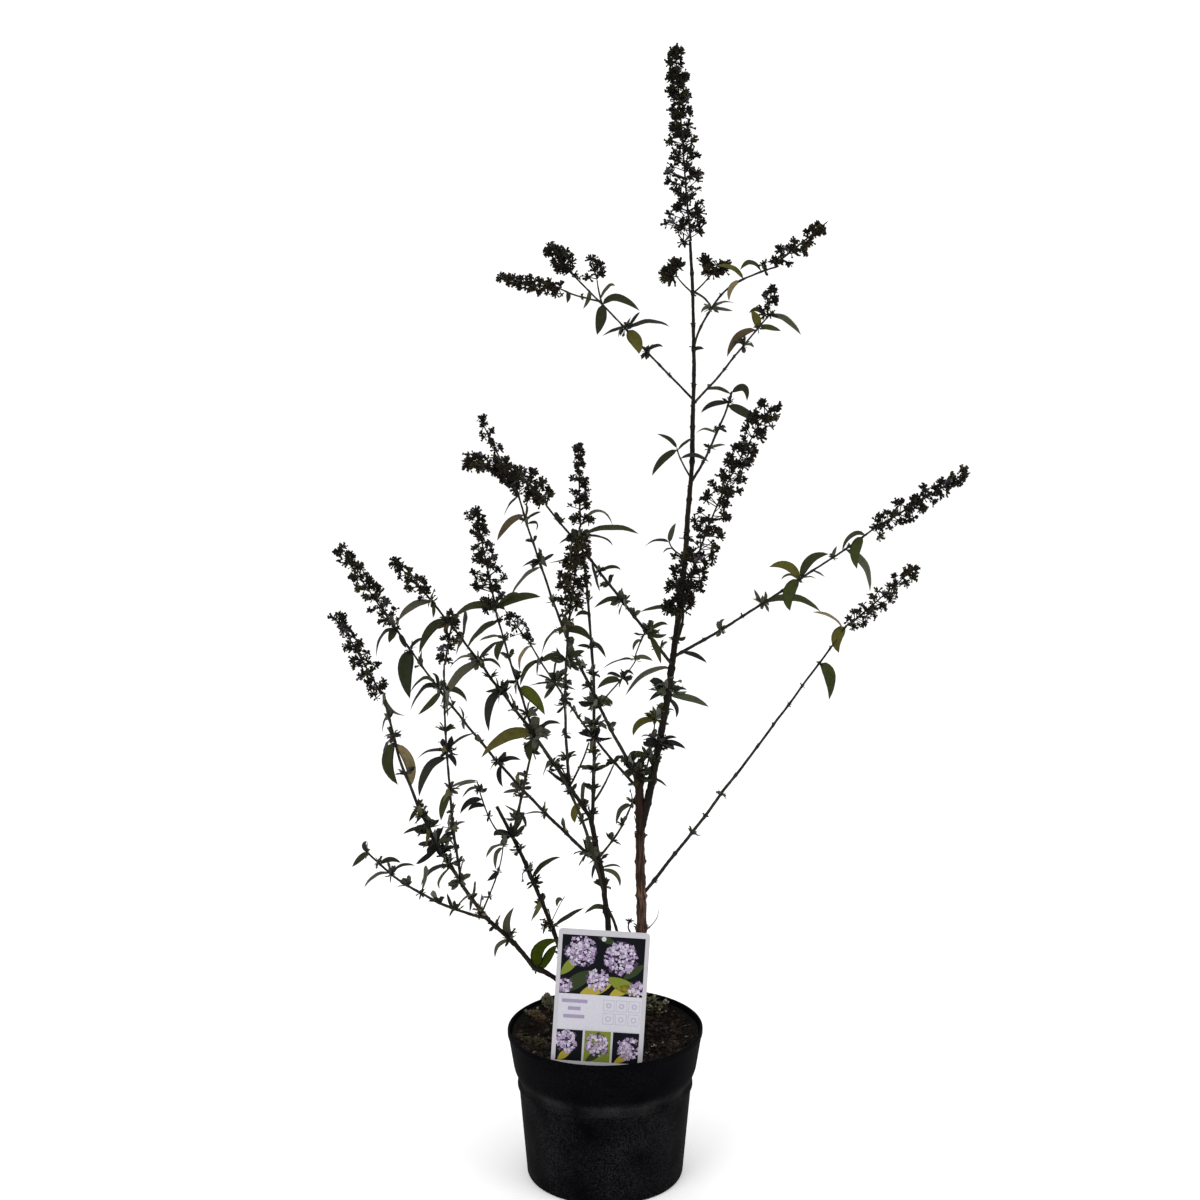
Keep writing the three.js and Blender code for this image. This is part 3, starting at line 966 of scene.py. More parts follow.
@dataclass
class Compost:
    """The compost that fills the pot: an uneven crumbly top on a body that fits the wall."""

    top: float = 130 * MM
    radius: float = 89.2 * MM
    rings: int = 90
    sides: int = 220
    swell: Spot = (2.2 * MM, 46 * MM)  # how high its broad swells are, and how wide
    grit: float = 1.9 * MM  # how high its lumps are
    lumps: Spot = (9 * MM, 4 * MM)  # how wide the coarse ones are, and the fine ones
    calm: float = 0.6  # how much of both is lost at the wall
    seed: int = 31
    label_gap: Spot = (-73 * MM, 5 * MM)  # the label's Y, and a clear strip to either side of it
    bank: float = 13.0 * MM  # how high it stands against the wall, and how much more at its back
    bank_more: float = 3.0 * MM
    bank_way: float = 1.4  # where it stands highest, in radians round the pot
    splay: float = 0.16  # how much wider it gets with its height, as the wall does
    crumbs: tuple[Crumb, ...] = (
        Crumb("compost_crumbs", DampCompost("crumb_brown", "#0f0b08", "#43362d"), 2300, (1.6, 6.0), 0.8),
        Crumb("bark_chips", DampCompost("chip_dark_brown", "#1e1611", "#54463c"), 460, (3.5, 10), 0.45),
        Crumb("pale_chips", DampCompost("chip_grey", "#5d5750", "#a39c92"), 60, (2.0, 5.0), 0.5),
        Crumb("grit", DampCompost("grit_pale", "#625b55", "#948c86"), 130, (0.6, 1.9), 0.9),
    )

    def height(self, flat: Array) -> Array:
        """The top's height at each level place: broad swells, crumbs and grit added up.

        Args:
            flat: Points whose z is 0.

        Returns:
            The height of each.
        """
        (swell, wide), (coarse, fine) = self.swell, self.lumps
        lumps = np.abs(ripple(flat, coarse, self.seed)) + ripple(flat, fine, self.seed + 1) / 2
        rise = swell * ripple(flat, wide, self.seed + 2) + self.grit * lumps
        edge = np.clip(np.linalg.norm(flat, axis=-1) / self.radius, 0, 1)
        turn = np.arctan2(flat[..., 1], flat[..., 0])
        bank = self.bank + self.bank_more * np.cos(turn - self.bank_way)
        return self.top + rise * (1 - self.calm * edge**4) + bank * edge**8

    def surface(self, places: Array) -> Array:
        """The top's points: each place at its height, and outwards by as much as the wall leans.

        Args:
            places: Points whose x and y count.

        Returns:
            The points.
        """
        flat = places * np.array([1, 1, 0])
        height = self.height(flat)[..., None]
        wider = 1 + self.splay * (height - self.top) / self.radius
        return flat * wider + UP * height

    def build(self, pot: NurseryPot) -> None:
        """Makes the compost's body and the bits that lie on it.

        Args:
            pot: The pot that it fills.
        """
        inside = pot.wall + 0.4
        profile = [
            (0, pot.floor + 0.3),
            (pot.base_radius - inside, pot.floor + 0.3),
            (pot.body_radius - inside, pot.ledge[0] - 2),
            (pot.collar_foot[0] - inside, pot.collar_foot[1]),
            (pot.waist[0] - inside, pot.waist[1]),
        ]
        level = [(out, self.top) for out in np.linspace(self.radius, 0, self.rings)]
        body = spun(np.concatenate([np.array(profile) * MM, level]), self.sides)
        upper = body.points[:, 2] >= self.top - 1e-9
        body.points[upper] = self.surface(body.points[upper])
        finish = DampCompost("damp_bark_compost", "#060403", "#1c130e")
        settle(body.build("compost_body", [finish]), "compost", "compost")
        for number, crumb in enumerate(self.crumbs):
            self.strew(crumb, self.seed + 10 + number)

    def strew(self, crumb: Crumb, seed: int) -> None:
        """Scatters one kind of bit over the top, each half sunk and turned its own way.

        Each is a small ball of two rings whose radius is uneven, flattened and laid at the top's
        height.

        Args:
            crumb: The kind of bit.
            seed: Which places are drawn.
        """
        rng = np.random.default_rng(seed)
        out = np.sqrt(rng.uniform(0, 1, crumb.count)) * (self.radius - 3 * MM)
        place = polar(out, rng.uniform(0, 2 * np.pi, crumb.count))
        middle, gap = self.label_gap
        place = self.surface(place[np.abs(place[:, 1] - middle) >= gap])
        count = len(place)
        half = rng.uniform(*crumb.size, (count, 1)) * MM / 2
        sides, levels = 6, np.array([-0.45, 0.45])
        ring = polar(np.sqrt(1 - levels**2)[:, None], circle(sides)) + UP * levels[:, None, None]
        rings = ring * rng.uniform(0.75, 1.25, (count, 2, sides, 1)) * np.array([1.0, 0.72, crumb.flat])
        lean = turned_at_random(rng, count) if crumb.flat > 0.7 else self.lying(rng, count)
        rings = np.einsum("nij,nrsj->nrsi", lean, rings) * half[:, None, None]
        pole = lean[:, :, 2] * crumb.flat * 0.9 * half
        bits = skin(rings + place[:, None, None], place - pole, place + pole)
        settle(bits.build(crumb.name, [crumb.finish], False), "compost")

    @staticmethod
    def lying(rng: Rng, count: int) -> Array:
        """Turns about an axis near Z, for flat bits that lie down.

        Args:
            rng: Where the draws come from.
            count: How many turns.

        Returns:
            Turning matrices as (count, 3, 3).
        """
        normal = unit(UP + rng.normal(scale=0.35, size=(count, 3)))
        side = unit(np.cross(normal, rng.normal(size=(count, 3))))
        return np.stack([side, np.cross(normal, side), normal], axis=-1)


Box = tuple[float, float, float, float]  # left, right, top and bottom on the card


@dataclass
class LabelCard:
    """The plant label: its card from the frame, and a plain picture of round blossoms on it.

    Sizes are in millimetres on the card, from the middle of its width and down from its top.
    """

    panel: Box = (-39.0, 39.0, 5.5, 61.0)
    small_panels: Spot = (95.0, 124.0)  # from and to
    small_width: float = 24.5
    hole: float = 8.0
    lift: float = 0.06  # between two layers of ink
    seed: int = 77
    leaves: tuple = (
        # foot, tip, width, ink
        ((-38, 60), (-8, 38), 13, Ink.DEEP),
        ((38, 58), (4, 44), 12, Ink.LEAF),
        ((-20, 61), (10, 50), 11, Ink.GOLD),
        ((-39, 44), (-22, 24), 9, Ink.LEAF),
        ((39, 30), (20, 45), 8, Ink.DEEP),
        ((8, 61), (30, 50), 9, Ink.GOLD),
        ((-6, 6), (12, 12), 6, Ink.DEEP),
    )
    heads: tuple = (((-21, 21), 15), ((17, 25), 16), ((-4, 47), 11), ((33, 54), 8), ((-34, 53), 7))
    florets: tuple = ((Ink.DUSK, 60, 1.0), (Ink.PETAL, 90, 0.95), (Ink.PALE, 34, 0.85))
    rules: tuple = ((-36, -12, 66), (-30, -18, 73), (-34, -14, 80.5))  # left, right, top
    squares: Spot = (3.0, 65.0)  # the left and the top of the first blank square
    square: float = 10.6

    def __post_init__(self) -> None:
        """Reads the card's axes and the middle of its top edge from its node."""
        points = np.unique(node_triangles("picture_label").reshape(-1, 3).round(6), axis=0)
        centre = (points.max(0) + points.min(0)) / 2
        axes = np.linalg.svd(points - points.mean(0), full_matrices=False)[2]
        self.up = axes[0] * np.sign(axes[0][2])
        self.out = axes[2] * -np.sign(axes[2][1])
        right = np.cross(self.up, self.out)
        self.right = right * np.sign(right[0])
        high = ((points - centre) @ self.up).max()
        front = ((points - centre) @ self.out).max()
        across = (points - centre) @ self.right
        middle = (across.max() + across.min()) / 2
        self.top = centre + self.up * high + self.out * front + self.right * middle

    def on_card(self, flat: Array, layer: float) -> Array:
        """Places on the card's face.

        Args:
            flat: Places [across, down] on the card.
            layer: Which layer of ink, 0 lowest.

        Returns:
            The points in the frame.
        """
        across, down = flat[..., 0:1] * MM, flat[..., 1:2] * MM
        rise = (layer + 1) * self.lift * MM
        return self.top + self.right * across - self.up * down + self.out * rise

    def patch(self, outlines: Array, layer: float, ink: Ink, panel: Box | None = None) -> Shape:
        """Thin closed plates of ink, one for each outline.

        Args:
            outlines: Outlines as (copy, corner, [across, down]), turning left as the eye sees them.
            layer: Which layer of ink.
            ink: The ink.
            panel: What holds them, if any: corners outside it are moved to its edge, and outlines
                whose middle lies outside are left out.

        Returns:
            The plates.
        """
        if panel:
            left, right, top, bottom = panel
            middle = outlines.mean(1)
            kept = ((middle > [left, top]) & (middle < [right, bottom])).all(axis=1)
            outlines = np.clip(outlines[kept], [left, top], [right, bottom])
        face, back = self.on_card(outlines, layer), self.on_card(outlines, -0.9)
        return skin(np.stack([back, face], axis=1), back.mean(1), face.mean(1), ink.number())

    def bar(self, box: Box, layer: float, ink: Ink) -> Shape:
        """A rectangle of ink."""
        left, right, high, low = box
        return self.patch(np.array([[[left, high], [left, low], [right, low], [right, high]]]), layer, ink)

    def dot(self, centre: Spot, radius: float, layer: float, ink: Ink) -> Shape:
        """A round dot of ink."""
        outline = np.array(centre) + polar(radius, -circle(24))[:, :2]
        return self.patch(outline[None], layer, ink)

    def leaf(self, foot: Spot, tip: Spot, width: float, ink: Ink, panel: Box) -> Shape:
        """A pointed leaf of ink.

        Args:
            foot: Where its stalk ends.
            tip: Its tip.
            width: Its full width.
            ink: The ink.
            panel: The panel that holds it.

        Returns:
            The plate.
        """
        start, end = np.array(foot, float), np.array(tip, float)
        share = np.linspace(0, 1, 10, endpoint=False)[:, None]
        along = unit(end - start)
        wide = np.array([-along[1], along[0]]) * width / 2 * np.sin(np.pi * share) ** 0.8
        there = start + (end - start) * share + wide
        back = end + (start - end) * share - wide
        return self.patch(np.concatenate([there, back])[None, ::-1], 1, ink, panel)

    def blossom(self, centre: Spot, radius: float, panel: Box, rng: Rng) -> list[Shape]:
        """A round head of small florets, darker behind and paler in front.

        A floret's outline has four lobes: its radius is its size times 1 + 0.35 cos 4v.

        Args:
            centre: The head's centre.
            radius: Its radius.
            panel: The panel that holds it.
            rng: Where the florets' places are drawn.

        Returns:
            Its plates.
        """
        parts = []
        turn = -circle(16)
        for step, (ink, count, spread) in enumerate(self.florets):
            amount = max(6, int(count * (radius / 14) ** 2))
            out = np.sqrt(rng.uniform(0, 1, amount)) * radius * spread
            middle = np.array(centre) + polar(out, rng.uniform(0, 2 * np.pi, amount))[:, :2]
            size = rng.uniform(0.9, 1.7, (amount, 1)) * (1 + 0.35 * np.cos(4 * turn))
            petals = polar(size, turn + rng.uniform(0, np.pi, (amount, 1)))[..., :2]
            parts.append(self.patch(middle[:, None] + petals, 2 + step / 2, ink, panel))
        return parts

    def care_square(self, column: int, row: int) -> list[Shape]:
        """A blank square with a ring in it.

        Args:
            column: Its place across.
            row: Its place down.

        Returns:
            Its plates.
        """
        left, top = self.squares[0] + column * 12, self.squares[1] + row * 12.5
        right, bottom = left + self.square, top + self.square
        middle = (left + self.square / 2, top + self.square / 2)
        return [
            self.bar((left, right, top, bottom), 1, Ink.LINE),
            self.bar((left + 0.5, right - 0.5, top + 0.5, bottom - 0.5), 2, Ink.FIELD),
            self.dot(middle, 2.6, 3, Ink.LINE),
            self.dot(middle, 1.2 + 0.5 * row, 4, Ink.FIELD),
        ]

    def build(self) -> None:
        """Prints the card: one large panel, a blank field with plain rules, three small panels."""
        card = frame["nodes"]["picture_label"]
        card.data.materials.clear()
        card.data.materials.append(PlasticCard("white_label_card", "#a5a3a8").material())
        rng = np.random.default_rng(self.seed)
        side, bottom = self.panel[1], self.panel[3]
        high, low = self.small_panels
        parts = [self.bar(self.panel, 0, Ink.GROUND)]
        parts.append(self.bar((-side, side, bottom, high - 1), 0, Ink.FIELD))
        parts += [self.leaf(*row, self.panel) for row in self.leaves]
        for centre, radius in self.heads:
            parts += self.blossom(centre, radius, self.panel, rng)
        parts.append(self.dot((0, self.hole), 2.2, 5, Ink.FIELD))
        small = ((-39.0, Ink.GROUND, Ink.GOLD), (-12.5, Ink.LEAF, Ink.DEEP), (14.0, Ink.GROUND, Ink.GOLD))
        for number, (left, ground, green) in enumerate(small):
            little = (left, left + self.small_width, high, low)
            middle = left + 12 + (number - 1) * 3
            parts.append(self.bar(little, 0, ground))
            parts.append(self.leaf((left + 2, low), (middle + 6, low - 12), 7, green, little))
            parts += self.blossom((middle, high + 11 + 2 * number), 11, little, rng)
        for left, right, top in self.rules:
            parts.append(self.bar((left, right, top, top + 3.4), 1, Ink.MAUVE))
        for column in range(3):
            for row in range(2):
                parts += self.care_square(column, row)
        settle(Shape.joined(parts).build("label_print", Ink.finishes(), False), "label_card")


# ---- Stems, boughs and twigs ----


def node_triangles(name: str) -> Array:
    """The triangles of one of the frame's nodes.

    Args:
        name: The node.

    Returns:
        The corners as (triangle, corner, xyz).
    """
    mesh = frame["nodes"][name].data
    points = np.empty(len(mesh.vertices) * 3, np.float32)
    mesh.vertices.foreach_get("co", points)
    mesh.calc_loop_triangles()
    corners = np.empty(len(mesh.loop_triangles) * 3, np.int32)
    mesh.loop_triangles.foreach_get("vertices", corners)
    return points.reshape(-1, 3)[corners].reshape(-1, 3, 3).astype(float)


@dataclass
class CoreLine:
    """The middle line and the radius of a long node of the frame, found by slicing it.

    Planes square to the node's long axis cut its edges. The middle of the cuts is a point of the
    middle line and their furthest distance from it the radius. A cubic through the points and a
    straight line or a table through the radii smooth out the faceted ends.
    """

    node: str
    trim: float = 0.05  # the share of the node that no plane cuts, at either end
    slices: int = 26

    def __post_init__(self) -> None:
        """Slices the node."""
        triangles = node_triangles(self.node)
        starts = triangles.reshape(-1, 3)
        ends = np.roll(triangles, -1, axis=1).reshape(-1, 3)
        middle = starts.mean(0)
        axis = np.linalg.svd(starts - middle, full_matrices=False)[2][0]
        first, second = (starts - middle) @ axis, (ends - middle) @ axis
        self.low, self.high = first.min(), first.max()
        self.span = self.high - self.low
        self.levels = self.low + self.span * np.linspace(self.trim, 1 - self.trim, self.slices)
        centres, radii = [], []
        for level in self.levels:
            cut = (first - level) * (second - level) < 0
            share = ((level - first[cut]) / (second[cut] - first[cut]))[:, None]
            places = starts[cut] * (1 - share) + ends[cut] * share
            centres.append((places.max(0) + places.min(0)) / 2)
            radii.append(np.linalg.norm(places - centres[-1], axis=1).max())
        self.radii = np.array(radii)
        self.cubic = np.polyfit(self.levels, centres, 3)
        self.taper = np.polyfit(self.levels[4:-4], radii[4:-4], 1)

    def foot_first(self, near: Array, count: int, foot: float = 0, tip: float = 0) -> Array:
        """Levels of the long axis, from the end that lies nearest to some points to the other.

        Args:
            near: The points, as (n, 3).
            count: How many levels.
            foot: How far the first level lies past the node's end.
            tip: How far the last one does.

        Returns:
            The levels.
        """
        ends = on_curve(self.cubic, np.array([self.low, self.high]))
        gaps = np.linalg.norm(near - ends[:, None], axis=-1).min(1)
        if gaps[0] < gaps[1]:
            return np.linspace(self.low - foot, self.high + tip, count)
        return np.linspace(self.low - tip, self.high + foot, count)[::-1]


@dataclass
class Shoot:
    """A stem, bough or twig as a line of points with a radius at each, foot first."""

    name: str
    line: Array
    radius: Array

    def __post_init__(self) -> None:
        """Measures the line and finds its directions."""
        steps = np.linalg.norm(np.diff(self.line, axis=0), axis=1)
        self.run = np.concatenate([[0], np.cumsum(steps)])
        self.length = float(self.run[-1])
        self.along = unit(np.gradient(self.line, axis=0))

    def nearest(self, spot: Spot) -> int:
        """The number of the line's point that lies nearest a place in the front view."""
        return int(np.linalg.norm(VIEW.spots(self.line) - np.array(spot), axis=1).argmin())

    def number_at(self, run: float) -> int:
        """The number of the line's point at a distance along it."""
        return int(np.abs(self.run - run).argmin())

    def between(self, rows: Array, runs: Array) -> Array:
        """What an array with one row for each of the line's points says at distances along it."""
        return np.stack([np.interp(runs, self.run, column) for column in rows.T], axis=-1)


@dataclass(frozen=True)
class LimbPlan:
    """How one stem or bough is made from its node; sizes in millimetres."""

    node: str
    parent: str | None
    bark: StripedBark
    slim: float = 0.9  # its thickness as a share of its node's
    leafy: float = 0.0  # how often a joint has a seeded longer leaf
    flare: float = 0.0  # extra radius at a stem's foot
    cut: bool = False  # whether its tip is a pruned stub
    swing: float = 0.0  # how far it swings to the right between its foot and its first joint


LIMBS = [
    LimbPlan("trunk", None, TRUNK_BARK, 1.18, 0, 3.0, True),
    LimbPlan("middle_stem", None, STEM_BARK, 0.86, 0.3, 2.2),
    LimbPlan("cut_stem", None, STEM_BARK, 0.76, 0.4, 1.8, True),
    LimbPlan("low_stem", None, STEM_BARK, 0.94, 0.3, 1.4, swing=133),
    LimbPlan("leader", "trunk", STEM_BARK, 1.18),
    LimbPlan("low_right_bough", "trunk", BOUGH_BARK, 0.75),
    LimbPlan("arching_bough", "leader", BOUGH_BARK, 0.7),
    LimbPlan("companion_bough", "leader", STEM_BARK, 0.8),
    LimbPlan("short_right_bough", "leader", BOUGH_BARK),
    LimbPlan("top_right_bough", "leader", BOUGH_BARK),
    LimbPlan("high_right_bough", "leader", BOUGH_BARK),
    LimbPlan("crossing_bough", "leader", BOUGH_BARK, 0.74, 0.4),
    LimbPlan("top_left_bough", "leader", BOUGH_BARK, 0.8),
    LimbPlan("top_left_fork", "top_left_bough", TWIG_BARK),
    LimbPlan("nodding_bough", "trunk", BOUGH_BARK, 0.82, 0.7),
    LimbPlan("inner_bough", "trunk", TWIG_BARK, 0.82, 0.8),
    LimbPlan("upright_bough", "middle_stem", BOUGH_BARK, 0.95, 0.8),
    LimbPlan("upper_left_bough", "middle_stem", STEM_BARK, 0.82, 0.8),
    LimbPlan("left_bough", "middle_stem", BOUGH_BARK, 0.8, 0.8),
    LimbPlan("back_shoot", "middle_stem", TWIG_BARK, 0.85, 0.9),
    LimbPlan("straight_bough", "upper_left_bough", BOUGH_BARK, 0.85, 0.7),
    LimbPlan("slender_bough", "upper_left_bough", BOUGH_BARK, 0.9, 0.8),
    LimbPlan("rising_bough", "low_stem", BOUGH_BARK, 1.0, 0.8),
    LimbPlan("low_left_bough", "low_stem", BOUGH_BARK, 1.0, 0.4),
    LimbPlan("thin_bough", "rising_bough", BOUGH_BARK, 0.93, 0.7),
]


@dataclass(frozen=True)
class TwigPlan:
    """A small side shoot, given by places in the front view; its foot sits on its parent."""

    name: str
    parent: str
    lean: float  # how many millimetres nearer the front its tip lies than its foot
    places: tuple[Spot, ...]
    thick: Spot = (1.8, 1.1)  # foot and tip diameter, in millimetres


TWIGS = [
    TwigPlan("leader_left_shoot", "leader", 12, ((689, 478), (681, 460), (677, 448))),
    TwigPlan("leader_low_shoot", "leader", -8, ((681, 556), (674, 550), (669, 541))),
    TwigPlan(
        "cut_right_shoot",
        "cut_stem",
        -30,
        ((511, 838), (516, 822), (520, 803), (527, 772), (532, 750), (536, 738)),
        (3.0, 1.8),
    ),
    TwigPlan(
        "cut_left_shoot",
        "cut_stem",
        25,
        ((509, 838), (500, 834), (491, 820), (482, 800), (477, 781)),
        (2.0, 1.0),
    ),
    TwigPlan("low_shoot", "low_stem", 14, ((484, 912), (489, 896), (498, 872), (503, 846))),
    TwigPlan("crossing_shoot", "crossing_bough", 9, ((648, 629), (640, 643), (634, 660))),
    TwigPlan("nodding_shoot", "nodding_bough", 20, ((600, 706), (612, 690), (627, 673), (636, 659))),
    TwigPlan("middle_shoot", "upright_bough", -9, ((595, 803), (603, 787), (614, 764)), (2.4, 1.6)),
    TwigPlan("upper_shoot", "upper_left_bough", 6, ((576, 782), (581, 764), (589, 742)), (2.2, 1.4)),
    TwigPlan(
        "slender_foot",
        "middle_stem",
        38,
        ((605, 896), (595, 863), (586, 830), (574, 798), (556, 769), (536, 738)),
        (3.2, 2.7),
    ),
    TwigPlan("small_head_stalk", "top_left_bough", 6, ((603, 303), (599, 292), (597, 279))),
    TwigPlan("left_head_stalk", "leader", 6, ((693, 294), (683, 284), (675, 274))),
    TwigPlan("right_head_stalk", "leader", -5, ((693, 294), (703, 284), (710, 275))),
    TwigPlan("leader_stub", "leader", 0, ((696, 291), (703, 297), (709, 304)), (2.2, 1.9)),
    TwigPlan("trunk_left_twig", "trunk", 8, ((641, 838), (637, 827), (634, 815)), (1.4, 0.7)),
    TwigPlan("trunk_foot_twig", "trunk", -9, ((648, 932), (655, 921), (658, 909)), (1.2, 0.5)),
    TwigPlan("trunk_foot_spur", "trunk", 10, ((636, 940), (629, 930), (632, 918)), (2.0, 1.4)),
    TwigPlan("middle_prop", "middle_stem", 3, ((610, 908), (618, 935), (627, 990), (632, 1058)), (2.6, 3.2)),
    TwigPlan("cut_loop_twig", "cut_stem", 9, ((553, 922), (558, 908), (565, 896)), (1.0, 0.6)),
    TwigPlan("cut_dot_twig", "cut_stem", 9, ((525, 868), (523, 873), (523, 880)), (0.9, 0.8)),
]


class Wood:
    """All the stems, boughs and twigs, made in fine bark round the frame's limbs."""

    STEP = 1.5 * MM
    SIDES = 12
    FOOT_REACH = 4.5 * MM  # how far a bough's foot goes into its parent
    GROUND_REACH = 9 * MM  # how far a stem goes on into the compost
    TIP_REACH = 3 * MM
    KINK = 0.45 * MM  # how far a limb wanders from its node's middle line
    KINK_LENGTH = 55 * MM
    FIRST_JOINT = 0.6  # how far up a stem its swing ends
    SWING_SKEW = 2.5  # how much nearer to the joint than to the foot it swings widest
    GROUND = 129 * MM  # the height from which a stem's foot flares
    FLARE_HEIGHT = 9 * MM
    JOINT_LENGTH, JOINT_SWELL = 1.9 * MM, 0.32
    DOME = 1.6 * MM  # how long the rounding of a tip is
    APART = 0.37  # how far apart two shoots read their bark's pattern
    FIBRES = (0.07, 2.4 * MM, 0.16)  # their height as a share of the radius, width, and width by length
    KNOBS = (0.05, 5 * MM)  # the same of the knobs
    CLOSED = 0.85  # how far a tip closes before its pole

    def __init__(self) -> None:
        """Reads every limb off the frame and lays every twig."""
        self.shoots: dict[str, Shoot] = {}
        for seed, plan in enumerate(LIMBS):
            self.shoots[plan.node] = self.limb(plan, seed)
        for plan in TWIGS:
            self.shoots[plan.name] = self.twig(plan)

    def limb(self, plan: LimbPlan, seed: int) -> Shoot:
        """Reads one limb off its node, turned foot first, with a slight wander of its own.

        Args:
            plan: The limb's plan.
            seed: Which wander it has.

        Returns:
            The shoot.
        """
        core = CoreLine(plan.node)
        near, foot = np.zeros((1, 3)), self.GROUND_REACH
        if plan.parent:
            near, foot = self.shoots[plan.parent].line, self.FOOT_REACH
        count = int(core.span / self.STEP) + 2
        levels = core.foot_first(near, count, foot, 0 if plan.cut else self.TIP_REACH)
        line = on_curve(core.cubic, levels)
        radius = np.polyval(core.taper, levels) * plan.slim
        share = np.linspace(0, 1, count)
        calm = np.sin(np.pi * share) ** 0.5
        run = np.outer(share * core.span, [1, 0, 0])
        for offset, direction in zip((0, 50), across_to(unit(np.gradient(line, axis=0)))):
            sway = ripple(run, self.KINK_LENGTH, seed + offset, 4) * calm * self.KINK
            line = line + direction * sway[:, None]
        below = np.clip(1 - share / self.FIRST_JOINT, 0, 1)
        line[:, 0] += plan.swing * MM * below * (1 - below) / (1 + self.SWING_SKEW * below)
        above = np.clip(line[:, 2] - self.GROUND, 0, None)
        radius = radius + plan.flare * MM * np.exp(-above / self.FLARE_HEIGHT)
        return Shoot(plan.node, line, radius)

    def twig(self, plan: TwigPlan) -> Shoot:
        """Lays one twig through its picture places, from its parent's own depth.

        Args:
            plan: The twig's plan.

        Returns:
            The shoot.
        """
        parent = self.shoots[plan.parent]
        foot = parent.line[parent.nearest(plan.places[0])]
        share = np.linspace(0, 1, len(plan.places))
        depth = foot[1] - plan.lean * MM * share
        rest = [VIEW.at_depth(spot, y) for spot, y in zip(plan.places[1:], depth[1:])]
        knots = np.array([foot, *rest])
        length = np.linalg.norm(np.diff(knots, axis=0), axis=1).sum()
        fine = np.linspace(0, 1, max(8, int(length / self.STEP)))
        weights = [20] + [1] * len(rest)  # the foot stays on the parent
        curve = np.polyfit(share, knots, min(3, len(rest)), w=weights)
        radius = np.interp(fine, [0, 1], np.array(plan.thick) * MM / 2)
        return Shoot(plan.name, on_curve(curve, fine), radius)

    def tube(self, shoot: Shoot, joints: list[float], seed: int, tint: int = 0, cut: bool = False) -> Shape:
        """A shoot's bark: f(u, v) = line(u) + r(u, v) (cos v n + sin v b).

        r swells at each leaf joint, and has lengthwise ridges and small knobs. The tip is a low
        dome, or on a pruned stub a flat cut.

        Args:
            shoot: The shoot.
            joints: Where its leaf joints are, as distances along it.
            seed: Which unevenness it has.
            tint: The bark's tint number.
            cut: Whether the tip is a flat cut.

        Returns:
            The shape, with each point's place on the shoot laid straight.
        """
        off = (shoot.run[:, None] - np.array(joints)) / self.JOINT_LENGTH
        swell = np.exp(-(off**2)).max(axis=1, initial=0)
        radius = shoot.radius * (1 + self.JOINT_SWELL * swell)
        straight = polar(shoot.radius[:, None], circle(self.SIDES)) + UP * shoot.run[:, None, None]
        (fibre, fine, slender), (knob, coarse) = self.FIBRES, self.KNOBS
        squeezed = straight * np.array([1, 1, slender])
        ridges = fibre * ripple(squeezed, fine, seed) + knob * ripple(straight, coarse, seed + 1)
        full = radius[:, None] * (1 + ridges)
        if not cut:
            closing = np.clip((shoot.length - shoot.run) / self.DOME, 0, 1)
            full = full * np.sqrt(1 - (1 - closing) ** 2 * self.CLOSED)[:, None]
        rings = shoot.line[:, None] + full[..., None] * spokes(shoot.along, self.SIDES)
        shape = skin(rings[None], shoot.line[:1], shoot.line[-1:], tint)
        poles = np.outer([0, shoot.length], UP)
        shape.follow = np.concatenate([straight.reshape(-1, 3) + self.APART * (seed + 1), poles])
        if cut:
            shape.tint[-self.SIDES :] = 1
        return shape

    def build(self, joints: dict[str, list[float]]) -> None:
        """Makes each limb a piece of its own and joins the twigs into one.

        Args:
            joints: The leaf joints of each shoot.
        """
        for number, plan in enumerate(LIMBS):
            name = plan.node
            shape = self.tube(self.shoots[name], joints[name], number * 7, cut=plan.cut)
            settle(shape.build(f"bark_{name}", [plan.bark, CUT_WOOD]), "bark", name)
        tubes = []
        for number, plan in enumerate(TWIGS):
            tubes.append(self.tube(self.shoots[plan.name], joints[plan.name], 300 + number * 7))
        settle(Shape.joined(tubes).build("side_twigs", [TWIG_BARK]), "bark")


# ---- Spent flower spikes ----


@dataclass(frozen=True)
class SpikePlan:
    """How one spent spike grows: its whorls of small heads up its stalk; sizes in millimetres."""

    node: str
    limb: str
    whorl_gap: float = 7.4
    heads: int = 5  # in each whorl
    head_size: float = 5.0
    full: float = 0.9  # share of the heads that are still there
    bare: Spot = (1, 1)  # a stretch with none, as shares from foot to tip
    spread: Spot = (1.5, 1.12)  # its width as a share of its node's, foot and tip
    growth: float = 2.0  # how late it widens towards its foot
    tints: tuple[float, ...] = (0.62, 0.24, 0.1, 0.04)  # the shares of the floret finishes


